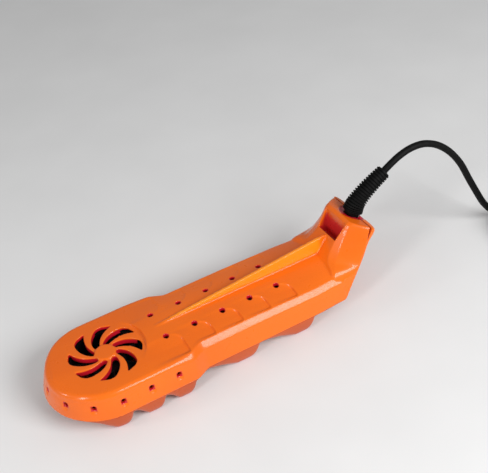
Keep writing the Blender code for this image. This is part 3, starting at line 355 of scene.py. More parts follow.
def skin(name, rings, smooth=35.0):
    """Skin neighbouring closed rings of points and cap both ends."""
    form = bmesh.new()
    rows = [[form.verts.new(point) for point in ring] for ring in rings]
    count = len(rows[0])
    for first, second in zip(rows, rows[1:]):
        for k in range(count):
            after = (k + 1) % count
            form.faces.new((first[k], first[after], second[after], second[k]))
    form.faces.new(rows[0])
    form.faces.new(list(reversed(rows[-1])))
    return form_object(name, form, smooth)


def extruded(name, outline, low, high):
    """A flat outline drawn out along Z."""
    return skin(name, [[place(x, y, z) for x, y in outline] for z in (low, high)])


def rod(name, radius, foot, axis, length, segments=24, flare=0.0, flare_length=0.0):
    """A cylinder from foot along axis, widened over its last stretch if asked for."""
    axis = Vector(axis).normalized()
    side = axis.orthogonal().normalized()
    other = axis.cross(side)
    steps = [(0.0, radius), (length, radius + flare)]
    if flare:
        steps.insert(1, (length - flare_length, radius))
    rings = []
    for along, size in steps:
        ring = []
        for k in range(segments):
            angle = 2.0 * math.pi * k / segments
            point = Vector(foot) + axis * along + (side * math.cos(angle) + other * math.sin(angle)) * size
            ring.append(place(*point))
        rings.append(ring)
    return skin(name, rings)


def ball(name, radius, middle):
    """A sphere about a point."""
    form = bmesh.new()
    bmesh.ops.create_uvsphere(form, u_segments=32, v_segments=20, radius=radius * MM)
    bmesh.ops.translate(form, verts=form.verts, vec=place(*middle))
    return form_object(name, form)


def apply_modifiers(item):
    """Bake an object's modifiers into its mesh."""
    graph = bpy.context.evaluated_depsgraph_get()
    mesh = bpy.data.meshes.new_from_object(item.evaluated_get(graph), depsgraph=graph)
    item.modifiers.clear()
    item.data = mesh


def boolean(item, tools, operation):
    """Cut tools from an object, or join them to it, and remove the tools."""
    for tool in tools:
        step = item.modifiers.new(tool.name, "BOOLEAN")
        step.solver = "MANIFOLD"
        step.operation = operation
        step.object = tool
    apply_modifiers(item)
    for tool in tools:
        bpy.data.objects.remove(tool, do_unlink=True)


def mould(item, voxel, passes):
    """Melt an object's pieces into one skin with small round fillets, as a moulding has."""
    remesh = item.modifiers.new("skin", "REMESH")
    remesh.mode = "VOXEL"
    remesh.voxel_size = voxel * MM
    remesh.use_smooth_shade = True
    ease = item.modifiers.new("fillets", "SMOOTH")
    ease.factor = 0.5
    ease.iterations = passes
    apply_modifiers(item)
    triangles = 2 * len(item.data.polygons)
    if triangles > MOST_TRIANGLES:
        thin = item.modifiers.new("thin", "DECIMATE")
        thin.ratio = MOST_TRIANGLES / triangles
        apply_modifiers(item)
    item.data.shade_smooth()


# ---- Housing shapes ----


def half_width(x):
    """Half-width of the housing at the parting line, behind the round toe."""
    width = HEAD_HALF + (SHANK_HALF - HEAD_HALF) * smoothstep(x, *NECK_IN)
    width += (SHANK_END_HALF - SHANK_HALF) * smoothstep(x, TAPER_START, BODY_END)
    beyond = min(max((x - BODY_END + END_ROUND) / END_ROUND, 0.0), 1.0)
    return width - END_ROUND * (1.0 - math.sqrt(1.0 - beyond ** 2))


def arc_lines():
    """Where each scallop ends at the housing's edge."""
    return [HOLE_X + SCALLOP_REACH + HOLE_PITCH * k for k in range(HOLE_COUNT)]


def stations(end):
    """Stations from the toe's tip to the end: an angle round the toe, then a distance along the edge."""
    result = [("angle", math.radians(a)) for a in range(0, 91, TOE_STEP)]
    along = set(spread(TOE_X + 1.0, end, STATION_STEP))
    for arc in arc_lines():
        along = {x for x in along if abs(x - arc) > 2.0 * STEP_GAP}
        along |= {arc - STEP_GAP, arc + STEP_GAP}
    along = {x for x in along if x < end - STEP_GAP}
    return result + [("along", x) for x in sorted(along)] + [("along", end)]


def edge_point(station, inset):
    """Plan position of a point of the side wall."""
    kind, value = station
    if kind == "angle":
        radius = HEAD_HALF - inset
        return TOE_X - radius * math.cos(value), radius * math.sin(value)
    return value, half_width(value) - inset


def lean_at(x, end):
    """How far the scallop arcs lean back from the edge towards the middle."""
    first = arc_lines()[0]
    last = arc_lines()[-1]
    grow = min(max((x - TOE_X) / (first - TOE_X), 0.0), 1.0)
    fade = min(max((end - x) / (end - last), 0.0), 1.0)
    return SCALLOP_LEAN * grow * fade


def arc_shape(y):
    """Shape of a scallop arc: 0 along the middle, 1 from SCALLOP_REACH outside the holes."""
    t = min(max((abs(y) - HOLE_Y) / SCALLOP_REACH, 0.0), 1.0)
    return math.sqrt(1.0 - (1.0 - t) ** 2)


def scallop_depth(x, share):
    """Depth of the scallops at a station, for a share of the way from the middle to the edge."""
    depth = 0.0
    for start, arc in zip([FIRST_SCALLOP_START] + arc_lines(), arc_lines()):
        if start < x <= arc:
            depth = SCALLOP_DEPTH * (x - start) / (arc - start)
    rise = min(max((share - SCALLOP_FADE[0]) / (SCALLOP_FADE[1] - SCALLOP_FADE[0]), 0.0), 1.0)
    return depth * rise * (1.0 - smoothstep(share, *SCALLOP_RIM))


def crown_at(x):
    """Height of the middle of the top over its edges."""
    return CROWN_HEAD + (CROWN_SHANK - CROWN_HEAD) * smoothstep(x, *CROWN_SPAN)


def toe_drop(x, z):
    """How far the top of the toe rolls over below the level of the grille."""
    height = min(max((z - TOE_DROP_FOOT) / -TOE_DROP_FOOT, 0.0), 1.0)
    return TOE_DROP * smoothstep(-x, *TOE_DROP_SPAN) * height


def end_drop(x, z):
    """How far the shank's edges dip towards the neck, below the height of its middle."""
    height = min(max((z - END_DROP_FOOT) / -END_DROP_FOOT, 0.0), 1.0)
    return END_DROP * smoothstep(x, *END_DROP_SPAN) * height


def side_rows(station, inset, foot):
    """Inset and height of each row of the side wall and its top edge: round on the head, then flatter."""
    rows = [(offset + inset, z) for offset, z in SIDE_PROFILE]
    rows[0] = (rows[0][0], foot)
    top_offset, top_z = SIDE_PROFILE[-1]
    flat = smoothstep(station[1], *CHAMFER_SPAN) * CHAMFER_SHARE if station[0] == "along" else 0.0
    for angle in range(9, 90, 9):
        turn = math.radians(angle)
        across = (1.0 - math.cos(turn)) * (1.0 - flat) + angle / 90.0 * flat
        rise = math.sin(turn) * (1.0 - flat) + angle / 90.0 * flat
        rows.append((top_offset + inset + BEVEL_ACROSS * across, top_z + BEVEL_DOWN * rise))
    return rows


def upper_line(station, end, inset, drop, foot, scallops):
    """One line of points over the upper housing, from its near foot to its far foot."""
    near = []
    far = []
    for offset, z in side_rows(station, inset, foot):
        x, y = edge_point(station, offset)
        height = z if z == foot else z - drop - toe_drop(x, z) - end_drop(x, z)
        near.append(place(x, -y, height))
        far.append(place(x, y, height))
    x, width = edge_point(station, EDGE_INSET + inset)
    lean = lean_at(x, end)
    top = []
    for share in spread(-1.0, 1.0, TOP_STEP):
        y = width * share
        z = EDGE_Z + crown_at(x) * (1.0 - share ** 2) - drop
        z -= toe_drop(x, z) + end_drop(x, EDGE_Z) * share ** 2
        if scallops:
            z -= scallop_depth(x, abs(share)) * (SCALLOP_FAR if share > 0.0 else 1.0)
        top.append(place(x - lean * (1.0 - arc_shape(y)), y, z))
    return near + top + list(reversed(far))


def housing_solid(name, lines):
    """Skin the lines of a housing and close its flat foot and its end."""
    form = bmesh.new()
    rows = [[form.verts.new(point) for point in line] for line in lines]
    for first, second in zip(rows, rows[1:]):
        for k in range(len(first) - 1):
            form.faces.new((first[k], first[k + 1], second[k + 1], second[k]))
    bmesh.ops.remove_doubles(form, verts=form.verts, dist=0.001 * MM)
    bmesh.ops.dissolve_degenerate(form, edges=form.edges, dist=0.001 * MM)
    foot_z = lines[0][0].z
    rim = [edge for edge in form.edges if edge.is_boundary]
    foot = [edge for edge in rim if all(abs(vert.co.z - foot_z) < 1e-7 for vert in edge.verts)]
    ends = [edge for edge in rim if edge not in foot]
    corners = {vert for edge in ends for vert in edge.verts if abs(vert.co.z - foot_z) < 1e-7}
    corners = sorted(corners, key=lambda vert: vert.co.y)
    across = form.edges.new((corners[0], corners[-1]))
    bmesh.ops.contextual_create(form, geom=foot + [across])
    bmesh.ops.contextual_create(form, geom=ends + [across])
    return form_object(name, form)


def upper_solid(name, end, inset=0.0, drop=0.0, foot=PARTING, scallops=True):
    """The upper housing's outside, or the space inside it."""
    return housing_solid(name, [upper_line(s, end, inset, drop, foot, scallops) for s in stations(end)])


def wave_at(x):
    """Share of the full wave depth at x."""
    for start, deep, leave, end in WAVES:
        if start < x < end:
            if x < deep:
                return (x - start) / (deep - start) * (0.55 + 0.45 * smoothstep(x, start, deep))
            if x <= leave:
                return 1.0
            return math.sqrt(1.0 - ((x - leave) / (end - leave)) ** 2)
    return 0.0


def lower_rows():
    """Finely spaced inset and share of depth for the round side of a wave."""
    return [tuple(row) for row in catmull(LOWER_ROWS, 3)]


def lower_line(station, inset, thickness, rim):
    """One line of points under the lower housing, from near rim to far rim."""
    near = []
    far = []
    rows = lower_rows()
    for offset, share in rows:
        x, y = edge_point(station, offset + inset)
        depth = LOWER_FLAT + WAVE_DEPTH * wave_at(x) - thickness
        z = PARTING - SEAM_GAP - depth * min(max(share, 0.0), 1.0)
        height = rim if (offset, share) == rows[0] else z
        near.append(place(x, -y, height))
        far.append(place(x, y, height))
    x, width = edge_point(station, LOWER_ROWS[-1][0] + inset)
    depth = LOWER_FLAT + WAVE_DEPTH * wave_at(x) - thickness
    floor = [place(x, width * share, PARTING - SEAM_GAP - depth) for share in (-0.7, -0.35, 0.0, 0.35, 0.7)]
    return near + floor + list(reversed(far))


def lower_solid(name, inset=0.0, thickness=0.0, rim=PARTING - SEAM_GAP):
    """The lower housing's outside, or the space inside it."""
    result = [("angle", math.radians(a)) for a in range(0, 91, TOE_STEP)]
    result += [("along", x) for x in spread(TOE_X + 0.8, LOWER_END, LOWER_STEP)]
    return housing_solid(name, [lower_line(s, inset, thickness, rim) for s in result])


def closed_section(inner, outer, half):
    """A mirrored section: each point is a share of the way from inner to outer, and so far across."""
    points = half + [(share, -y) for share, y in reversed(half[1:-1])]
    result = []
    for share, y in points:
        x = inner[0] + (outer[0] - inner[0]) * share
        z = inner[1] + (outer[1] - inner[1]) * share
        result.append((x, y, z))
    return result


def section_solid(name, sections):
    """Skin a row of closed sections."""
    return skin(name, [[place(*point) for point in section] for section in sections])


def neck_section(front, seam, flat_half, bevel, seam_half):
    """Closed section of the neck: a flat front, a bevel, then a side that swells out to the seam."""
    depth = math.dist(front, seam)
    start = bevel * NECK_BEVEL_SLOPE / depth
    wide = flat_half + bevel
    half = [(0.0, 0.0), (0.0, flat_half * 0.5), (0.0, flat_half), (start * 0.5, flat_half + bevel * 0.5)]
    for step in range(7):
        share = step / 6.0
        swell = NECK_SWELL * math.sin(share * math.pi / 2.0) + (1.0 - NECK_SWELL) * share
        half.append((start + (1.0 - start) * share, wide + (seam_half - wide) * swell))
    half.append((1.0, 0.0))
    return closed_section(front, seam, half)


def ring_rows(rings, per_span=6):
    """Smoothly interpolated rings, each given as side-view points and widths."""
    flat = [[*ring[0], *ring[1], *ring[2:]] for ring in rings]
    return [((row[0], row[1]), (row[2], row[3]), *row[4:]) for row in catmull(flat, per_span)]


def neck_solid(name):
    """Outside of the neck as far as its seam with the rear plate."""
    return section_solid(name, [neck_section(*ring) for ring in ring_rows(NECK_RINGS)])


def neck_space(name):
    """Space inside the neck, open at the back and at the bottom."""
    sections = []
    for front, seam, flat_half, bevel, seam_half in NECK_RINGS[:-1]:
        inner_front = (front[0] + NECK_WALL_X, front[1])
        open_seam = (seam[0] + NECK_OPEN, seam[1] - 1.0)
        widths = (flat_half - 0.4, bevel * 0.8, seam_half - NECK_WALL)
        sections.append(neck_section(inner_front, open_seam, *widths))
    sections[0] = [(x, y, PARTING - 1.0) for x, y, _ in sections[0]]
    along = Vector(EXIT_AXIS)
    limit = along.dot(Vector((EXIT[0], 0.0, EXIT[1]))) - NECK_PLATE
    sections = [section for section in sections if along.dot(Vector(section[0])) < limit - 0.5]
    sections[-1] = [tuple(Vector(p) + along * (limit - along.dot(Vector(p)))) for p in sections[-1]]
    return section_solid(name, sections)


def rear_section(inner, outer, half):
    """Closed section of the neck's rear plate, with elliptical outer corners."""
    shape = [(0.0, 0.0), (0.0, half)]
    for angle in range(0, 91, 10):
        turn = math.radians(angle)
        along = 1.0 - REAR_ROUND_SHARE * (1.0 - math.sin(turn))
        shape.append((along, half - REAR_ROUND * (1.0 - math.cos(turn))))
    shape.append((1.0, 0.0))
    return closed_section(inner, outer, shape)


def slot_outline(turn):
    """One curved slot of the grille, pointed at its trailing outer end."""
    lead = catmull(SLOT_LEAD, 3)
    trail = catmull(SLOT_TRAIL, 3)
    result = []
    for radius, degrees in lead + trail:
        angle = turn + math.radians(degrees)
        result.append((radius * math.cos(angle), radius * math.sin(angle)))
    return result


def rib_solid(name):
    """The tapered blade along the middle of the shank."""
    sections = []
    for x, top in ((RIB_START, RIB_START_Z), (RIB_END, RIB_END_Z)):
        foot = 0.4
        corners = ((-RIB_FOOT, foot), (RIB_FOOT, foot), (RIB_TOP, top), (-RIB_TOP, top))
        sections.append([place(x, y, z) for y, z in corners])
    return skin(name, sections)


def pocket_half(z):
    """Half-width of the pocket, which narrows downwards."""
    lip, top = POCKET_OUTLINE[0][1], POCKET_OUTLINE[3][1]
    share = min(max((z - lip) / (top - lip), 0.0), 1.0)
    return POCKET_LIP_HALF + (POCKET_TOP_HALF - POCKET_LIP_HALF) * share


def pocket_block(name, outline, wall):
    """An outline in side view drawn out to the pocket's width and so much wall."""
    sides = [[place(x, side * (pocket_half(z) + wall), z) for x, z in outline] for side in (-1.0, 1.0)]
    return skin(name, sides)


def exit_point(depth):
    """A point on the cord exit's axis, so deep below the neck's end face."""
    return (EXIT[0] - depth * EXIT_AXIS[0], 0.0, EXIT[1] - depth * EXIT_AXIS[2])


def recess_tool(name):
    """Cutter for the shallow round recess in which the strain relief stands."""
    x, y, z = exit_point(EXIT_RECESS_DEPTH)
    foot = (x + EXIT_RECESS_BACK * EXIT_AXIS[2], y, z - EXIT_RECESS_BACK * EXIT_AXIS[0])
    return rod(name, EXIT_RECESS, foot, EXIT_AXIS, 6.0, 48)


def exit_tools(label):
    """Cutters for the cord's hole and the groove that holds the strain relief's flange."""
    groove = FLANGE_SPAN[1] - FLANGE_SPAN[0]
    return [
        rod(label + "_exit_hole", EXIT_HOLE, exit_point(10.0), EXIT_AXIS, 16.0, 32),
        rod(label + "_flange_groove", FLANGE_HOLE, exit_point(FLANGE_SPAN[1]), EXIT_AXIS, groove, 32),
    ]


def side_hole_places():
    """Place and outward direction of each hole in the head's side wall, evenly spaced round the toe."""
    radius = HEAD_HALF - SIDE_PROFILE[1][0]
    quarter = radius * math.pi / 2.0
    places = []
    for k in range(-5, 6):
        distance = abs(k) * SIDE_HOLE_PITCH
        side = 1.0 if k >= 0 else -1.0
        angle = min(distance, quarter) / radius
        x = TOE_X - radius * math.cos(angle) + max(distance - quarter, 0.0)
        places.append(((x, side * radius * math.sin(angle)), (-math.cos(angle), side * math.sin(angle))))
    return places


SIDE_HOLES = side_hole_places()


def in_grille(x, y, z):
    """1 on the walls of the grille's slots, which are painted deep red as shade and as light that has passed
    through the plastic.
    """
    inside = SLOT_LEAD[-1][0] - math.hypot(x, y)
    return smoothstep(-z, 0.45, 0.9) * smoothstep(inside, -1.0, -0.4)


def in_holes(x, y, z):
    """1 on the walls of the top's air holes, which are painted deep red shade."""
    nearest = min(max(round((x - HOLE_X) / HOLE_PITCH), 0), HOLE_COUNT - 1)
    away = math.hypot(x - HOLE_X - HOLE_PITCH * nearest, abs(y) - HOLE_Y)
    return 1.0 - smoothstep(away, HOLE_RADIUS + 0.05, HOLE_RADIUS + 0.4)


def in_side_holes(x, y, z):
    """1 on the walls of the side's air holes, which are painted deep red shade."""
    if z <= PARTING:
        return 0.0
    nearest = min(math.hypot(x - spot[0], y - spot[1]) for spot, _ in SIDE_HOLES)
    deep = smoothstep(SIDE_HOLE_RADIUS + 0.5 - abs(z - SIDE_HOLE_Z), 0.0, 0.3)
    return deep * (1.0 - smoothstep(nearest, SIDE_HOLE_RADIUS + 0.1, SIDE_HOLE_RADIUS + 0.5))


def on_rib(x, y, z):
    """1 on the thin rib, which is painted a lighter amber as a glow of light shining through it."""
    if not RIB_START < x < RIB_END or abs(y) > RIB_FOOT + 0.4:
        return 0.0
    raised = smoothstep(z - crown_at(x) - EDGE_Z, 0.4, 1.6)
    return raised * (1.0 - smoothstep(x, RIB_END - 6.0, RIB_END - 2.0))


def in_pocket(x, y, z):
    """1 on the pocket's walls and floor, fading towards its mouth: painted deep red shade."""
    lip, foot, _, mouth = POCKET_OUTLINE[:4]
    if not lip[0] - 0.6 < x < mouth[0] + 0.2 or abs(y) > pocket_half(z) + 0.8 or z <= foot[1] - 0.6:
        return 0.0
    slope = (mouth[1] - lip[1]) / (mouth[0] - lip[0])
    below = lip[1] + (x - lip[0]) * slope - z
    return 0.9 * smoothstep(below, 0.5, 3.5)


def in_exit(x, y, z):
    """1 in the recess round the cord, which is painted deep red shade."""
    axis = Vector(EXIT_AXIS)
    middle = Vector(exit_point(0.0)) + Vector((axis.z, 0.0, -axis.x)) * EXIT_RECESS_BACK
    across = Vector((x, y, z)) - middle
    depth = -across.dot(axis)
    away = (across + axis * depth).length
    return smoothstep(depth, 0.15, 0.4) * (1.0 - smoothstep(away, EXIT_RECESS + 0.1, EXIT_RECESS + 0.5))


def on_plate(x, y, z):
    """1 on the rear plate of the neck, which is painted the upper orange, 0 on the tray, which keeps its
    darker painted shade.
    """
    return smoothstep(z, PARTING + 3.0, PARTING + 9.0)


def paint(item, name, rules):
    """Store on each point of a mesh how far one of the rules holds there."""
    values = []
    for vert in item.data.vertices:
        x, y, z = (vert.co - GRILLE) / MM
        values.append(max(rule(x, y, z) for rule in rules))
    item.data.attributes.new(name, "FLOAT", "POINT").data.foreach_set("value", values)


def upper_housing():
    """Upper half of the housing as one moulding."""
    item = upper_solid("upper_shell", BODY_END)
    boolean(item, [neck_solid("neck_front"), rib_solid("rib_blade")], "UNION")
    body_space = upper_solid("upper_space", CAVITY_END, WALL, ROOF, PARTING - 1.0, False)
    boolean(item, [body_space, neck_space("neck_space")], "DIFFERENCE")
    walls = pocket_block("pocket_walls", POCKET_WALLS, POCKET_WALL)
    bosses = []
    for k, (x, y) in enumerate(SCREW_PLACES):
        bosses.append(rod(f"upper_boss_{k}", BOSS_RADIUS, (x, y, BOSS_MEET), UP, BOSS_TOP - BOSS_MEET))
    bars = rod("grille_bars", BARS_RADIUS, (0, 0, BARS_FOOT), UP, BARS_TOP - BARS_FOOT, 64)
    boolean(item, [walls, bars, *bosses], "UNION")
    tools = [
        pocket_block("pocket", POCKET_OUTLINE, 0.0),
        rod("grille_recess", GRILLE_RECESS, (0, 0, GRILLE_FLOOR), UP, 4.0, 96),
        rod("grille_dish", DISH_FLOOR, (0, 0, GRILLE_FLOOR - DISH_DEPTH), UP, DISH_DEPTH, 64,
            DISH_RIM - DISH_FLOOR, DISH_DEPTH - 0.01),
        recess_tool("upper_exit_recess"),
        *exit_tools("upper"),
    ]
    for k in range(SLOT_COUNT):
        tools.append(extruded(f"slot_{k}", slot_outline(2.0 * math.pi * k / SLOT_COUNT), -5.0, 2.0))
    for k in range(HOLE_COUNT):
        for side in (-1.0, 1.0):
            spot = (HOLE_X + HOLE_PITCH * k, side * HOLE_Y, -5.0)
            tools.append(rod(f"top_hole_{k}_{side}", HOLE_RADIUS, spot, UP, 9.0))
    dimples = []
    for k, ((x, y), (ahead, across)) in enumerate(SIDE_HOLES):
        foot = (x - 4.0 * ahead, y - 4.0 * across, SIDE_HOLE_Z)
        tools.append(rod(f"side_hole_{k}", SIDE_HOLE_RADIUS, foot, (ahead, across, 0.0), 6.0))
        away = DIMPLE_BALL - DIMPLE_DEPTH
        dimples.append(ball(f"dimple_{k}", DIMPLE_BALL, (x + away * ahead, y + away * across, SIDE_HOLE_Z)))
    for k, (x, y) in enumerate(SCREW_PLACES):
        tools.append(rod(f"upper_pilot_{k}", SCREW_HOLE, (x, y, BOSS_MEET - 0.5), UP, PILOT_DEPTH + 0.5))
    boolean(item, dimples + tools, "DIFFERENCE")
    hub = rod("hub", HUB_DISC, (0, 0, BARS_FOOT), UP, GRILLE_FLOOR + HUB_RISE - BARS_FOOT, 48)
    boolean(item, [hub], "UNION")
    mould(item, UPPER_VOXEL, 4)
    # Painted shade: slot, hole, pocket and cord-recess walls are marked for deep red
    paint(item, "painted_shade", (in_grille, in_holes, in_side_holes, in_pocket, in_exit))
    # Painted light: the rib is marked for its amber glow
    paint(item, "bright", (on_rib,))
    return item


def lower_housing():
    """Lower half of the housing: waved tray and the neck's rear plate."""
    item = lower_solid("lower_shell")
    boolean(item, [lower_solid("lower_space", LOWER_WALL, LOWER_WALL, PARTING + 1.0)], "DIFFERENCE")
    joined = [section_solid("rear_plate", [rear_section(*ring) for ring in ring_rows(REAR_RINGS)])]
    foot = PARTING - LOWER_FLAT
    top = BOSS_MEET - SEAM_GAP
    for k, (x, y) in enumerate(SCREW_PLACES):
        joined.append(rod(f"lower_boss_{k}", BOSS_RADIUS, (x, y, foot), UP, top - foot))
    boolean(item, joined, "UNION")
    tools = [recess_tool("lower_exit_recess"), *exit_tools("lower")]
    for k, (x, y) in enumerate(SCREW_PLACES):
        tools.append(rod(f"lower_hole_{k}", SCREW_HOLE, (x, y, foot - 6.0), UP, 12.0))
        tools.append(rod(f"lower_recess_{k}", SCREW_HEAD + 0.4, (x, y, foot - 8.2), UP, 10.0))
    boolean(item, tools, "DIFFERENCE")
    mould(item, LOWER_VOXEL, 5)
    # Painted shade: the cord recess is marked for deep red
    paint(item, "painted_shade", (in_exit,))
    # Painted light: the rear plate is marked to lose the tray's painted shade
    paint(item, "bright", (on_plate,))
    return item


# ---- Strain relief, cord and strap ----


def sweep(name, line, radii, segments, smooth):
    """A round body whose radius changes along a curved middle line in the XZ plane."""
    rings = []
    for k, point in enumerate(line):
        ahead = (line[min(k + 1, len(line) - 1)] - line[max(k - 1, 0)]).normalized()
        side = Vector((0.0, 1.0, 0.0))
        up = ahead.cross(side).normalized()
        ring = []
        for m in range(segments):
            angle = 2.0 * math.pi * m / segments
            ring.append(point + radii[k] * MM * (math.cos(angle) * side + math.sin(angle) * up))
        rings.append(ring)
    return skin(name, rings, smooth)


def strain_relief():
    """Rubber sleeve: its flange and root inside the neck, then ribs that get smaller towards the cord."""
    path = [exit_point(RELIEF_SINK)] + [(x, 0.0, z) for x, z in RELIEF_PATH]
    steps = 12 * RELIEF_RIBS
    fine = [place(*point) for point in catmull(path, steps // (len(path) - 1))]
    count = len(fine)
    top, bottom = RELIEF_FLANGE_SPAN
    line = [place(*exit_point(depth)) for depth in (bottom, top, top - 0.02, RELIEF_SINK + 0.02)]
    radii = [RELIEF_FLANGE, RELIEF_FLANGE, RELIEF_ROOT, RELIEF_ROOT]
    for k, point in enumerate(fine):
        share = k / (count - 1)
        size = RELIEF_BASE + (RELIEF_TIP - RELIEF_BASE) * share
        phase = share * RELIEF_RIBS % 1.0
        rib = smoothstep(min(phase, 1.0 - phase), 0.10, 0.26)
        groove = RELIEF_GROOVE * (1.15 - 0.45 * share)
        line.append(point)
        radii.append(size - groove * (1.0 - rib) if 0.02 < share < 0.985 else size - RELIEF_RIM)
    return sweep("relief_sleeve", line, radii, 40, 50.0)


def coil_points():
    """The cord's turns: each settles into its own place beside the last, then leaves for the plug."""
    low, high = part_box("cord_coil")
    middle = (Vector(low) + Vector(high)) / 2.0
    outer = (high[0] - low[0]) / 2.0 - COIL_TURN * MM / 2.0
    first = middle.z - COIL_TURN * MM
    turn = 360.0 - COIL_SHIFT
    last = len(COIL_CELLS) - 1
    finish = 360.0 * COIL_TURNS
    points = []
    angle = 0.0
    while angle <= finish:
        cell = min(angle / turn, last + 0.999)
        index = int(cell)
        after = min(index + 1, last)
        shift = smoothstep(cell - index, 1.0 - COIL_SHIFT / turn, 1.0)
        column = COIL_CELLS[index][0] + (COIL_CELLS[after][0] - COIL_CELLS[index][0]) * shift
        layer = COIL_CELLS[index][1] + (COIL_CELLS[after][1] - COIL_CELLS[index][1]) * shift
        radius = outer - column * COIL_TURN * MM
        height = first + layer * COIL_TURN * MM
        arrive = 1.0 - smoothstep(angle, 0.0, COIL_ARRIVE)
        radius += arrive * (Vector(CORD_ROUTE[-1]).y - middle.y - outer)
        height += arrive * (CORD_ROUTE[-1][2] - first)
        leave = smoothstep(angle, finish - COIL_LEAVE[0], finish - COIL_LEAVE[1])
        sink = smoothstep(angle, finish - COIL_SINK[0], finish - COIL_SINK[1])
        radius += leave * (middle.y - PLUG_TAIL.y - outer)
        height += sink * (PLUG_TAIL.z - height)
        turned = math.radians(COIL_START - angle)
        x = middle.x + radius * math.cos(turned)
        points.append(Vector((x, middle.y + radius * math.sin(turned), height)))
        angle += COIL_STEP
    return points


def cord_line():
    """All the points of the cord, from the strain relief's tip to the plug's tail."""
    route = [Vector(point) for point in catmull(CORD_ROUTE, 4)]
    return route + coil_points()[1:] + [PLUG_TAIL]


def cord_piece(line):
    """The whole cord as one curve."""
    curve = bpy.data.curves.new("flex_cord", "CURVE")
    curve.dimensions = "3D"
    curve.bevel_depth = CORD * MM / 2.0
    curve.bevel_resolution = 5
    curve.use_fill_caps = True
    spline = curve.splines.new("POLY")
    spline.points.add(len(line) - 1)
    for knot, point in zip(spline.points, line):
        knot.co = (*point, 1.0)
    return link("flex_cord", curve)


def coil_strap():
    """Hook-and-loop strap once round the coil's turns, its free end lapped over the start."""
    low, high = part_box("coil_tie")
    coil_low, coil_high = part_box("cord_coil")
    middle = (Vector(coil_low) + Vector(coil_high)) / 2.0
    centre = (Vector(low) + Vector(high)) / 2.0
    outward = Vector((centre.x - middle.x, centre.y - middle.y, 0.0)).normalized()
    along = outward.cross(UP)
    half = (high[2] - low[2]) / 2.0 - STRAP_THICK * MM
    gap = STRAP_FIT * STRAP_THICK
    closed = 1.0 / (1.0 + STRAP_LAP)
    rings = []
    for k in range(STRAP_STEPS + 1):
        share = k / STRAP_STEPS
        angle = math.radians(STRAP_START) + 2.0 * math.pi * (1.0 + STRAP_LAP) * share
        lift = gap * smoothstep(share, closed - STRAP_LIFT_SPAN, closed)
        around = (abs(math.cos(angle)) ** 4 + abs(math.sin(angle)) ** 4) ** -0.25
        way = outward * math.cos(angle) + UP * math.sin(angle)
        inner = centre + way * (around * (half - gap * MM) + lift * MM)
        outer = inner + way * STRAP_THICK * MM
        side = along * STRAP_WIDTH * MM / 2.0 * min(1.0, STRAP_TIP + STRAP_TIP_GROWTH * (STRAP_STEPS - k))
        rings.append([inner - side, inner + side, outer + side * STRAP_EDGE, outer - side * STRAP_EDGE])
    return skin("coil_strap", rings, 50.0)


def stage_floor():
    """A plain pale floor under the unit."""
    form = bmesh.new()
    bmesh.ops.create_grid(form, x_segments=1, y_segments=1, size=FLOOR_REACH)
    floor = form_object("floor", form)
    floor.location.z = FLOOR_LEVEL
    return floor


# ---- Materials ----


ORANGE = (0.88, 0.16, 0.004)
ORANGE_DEEP = (0.82, 0.138, 0.004)
# Same plastic as the upper orange, painted darker as shade on the underside
TRAY_PAINTED_SHADE = (0.55, 0.09, 0.013)
TRAY_PAINTED_SHADE_DEEP = (0.47, 0.07, 0.013)
# Deep red painted shade for creases, slot walls, hole walls, the pocket and the cord recess
SHADE_CRIMSON = (0.55, 0.008, 0.022)
# Lighter amber for the painted glow of light through the thin rib
GLOW_AMBER = (0.96, 0.27, 0.008)


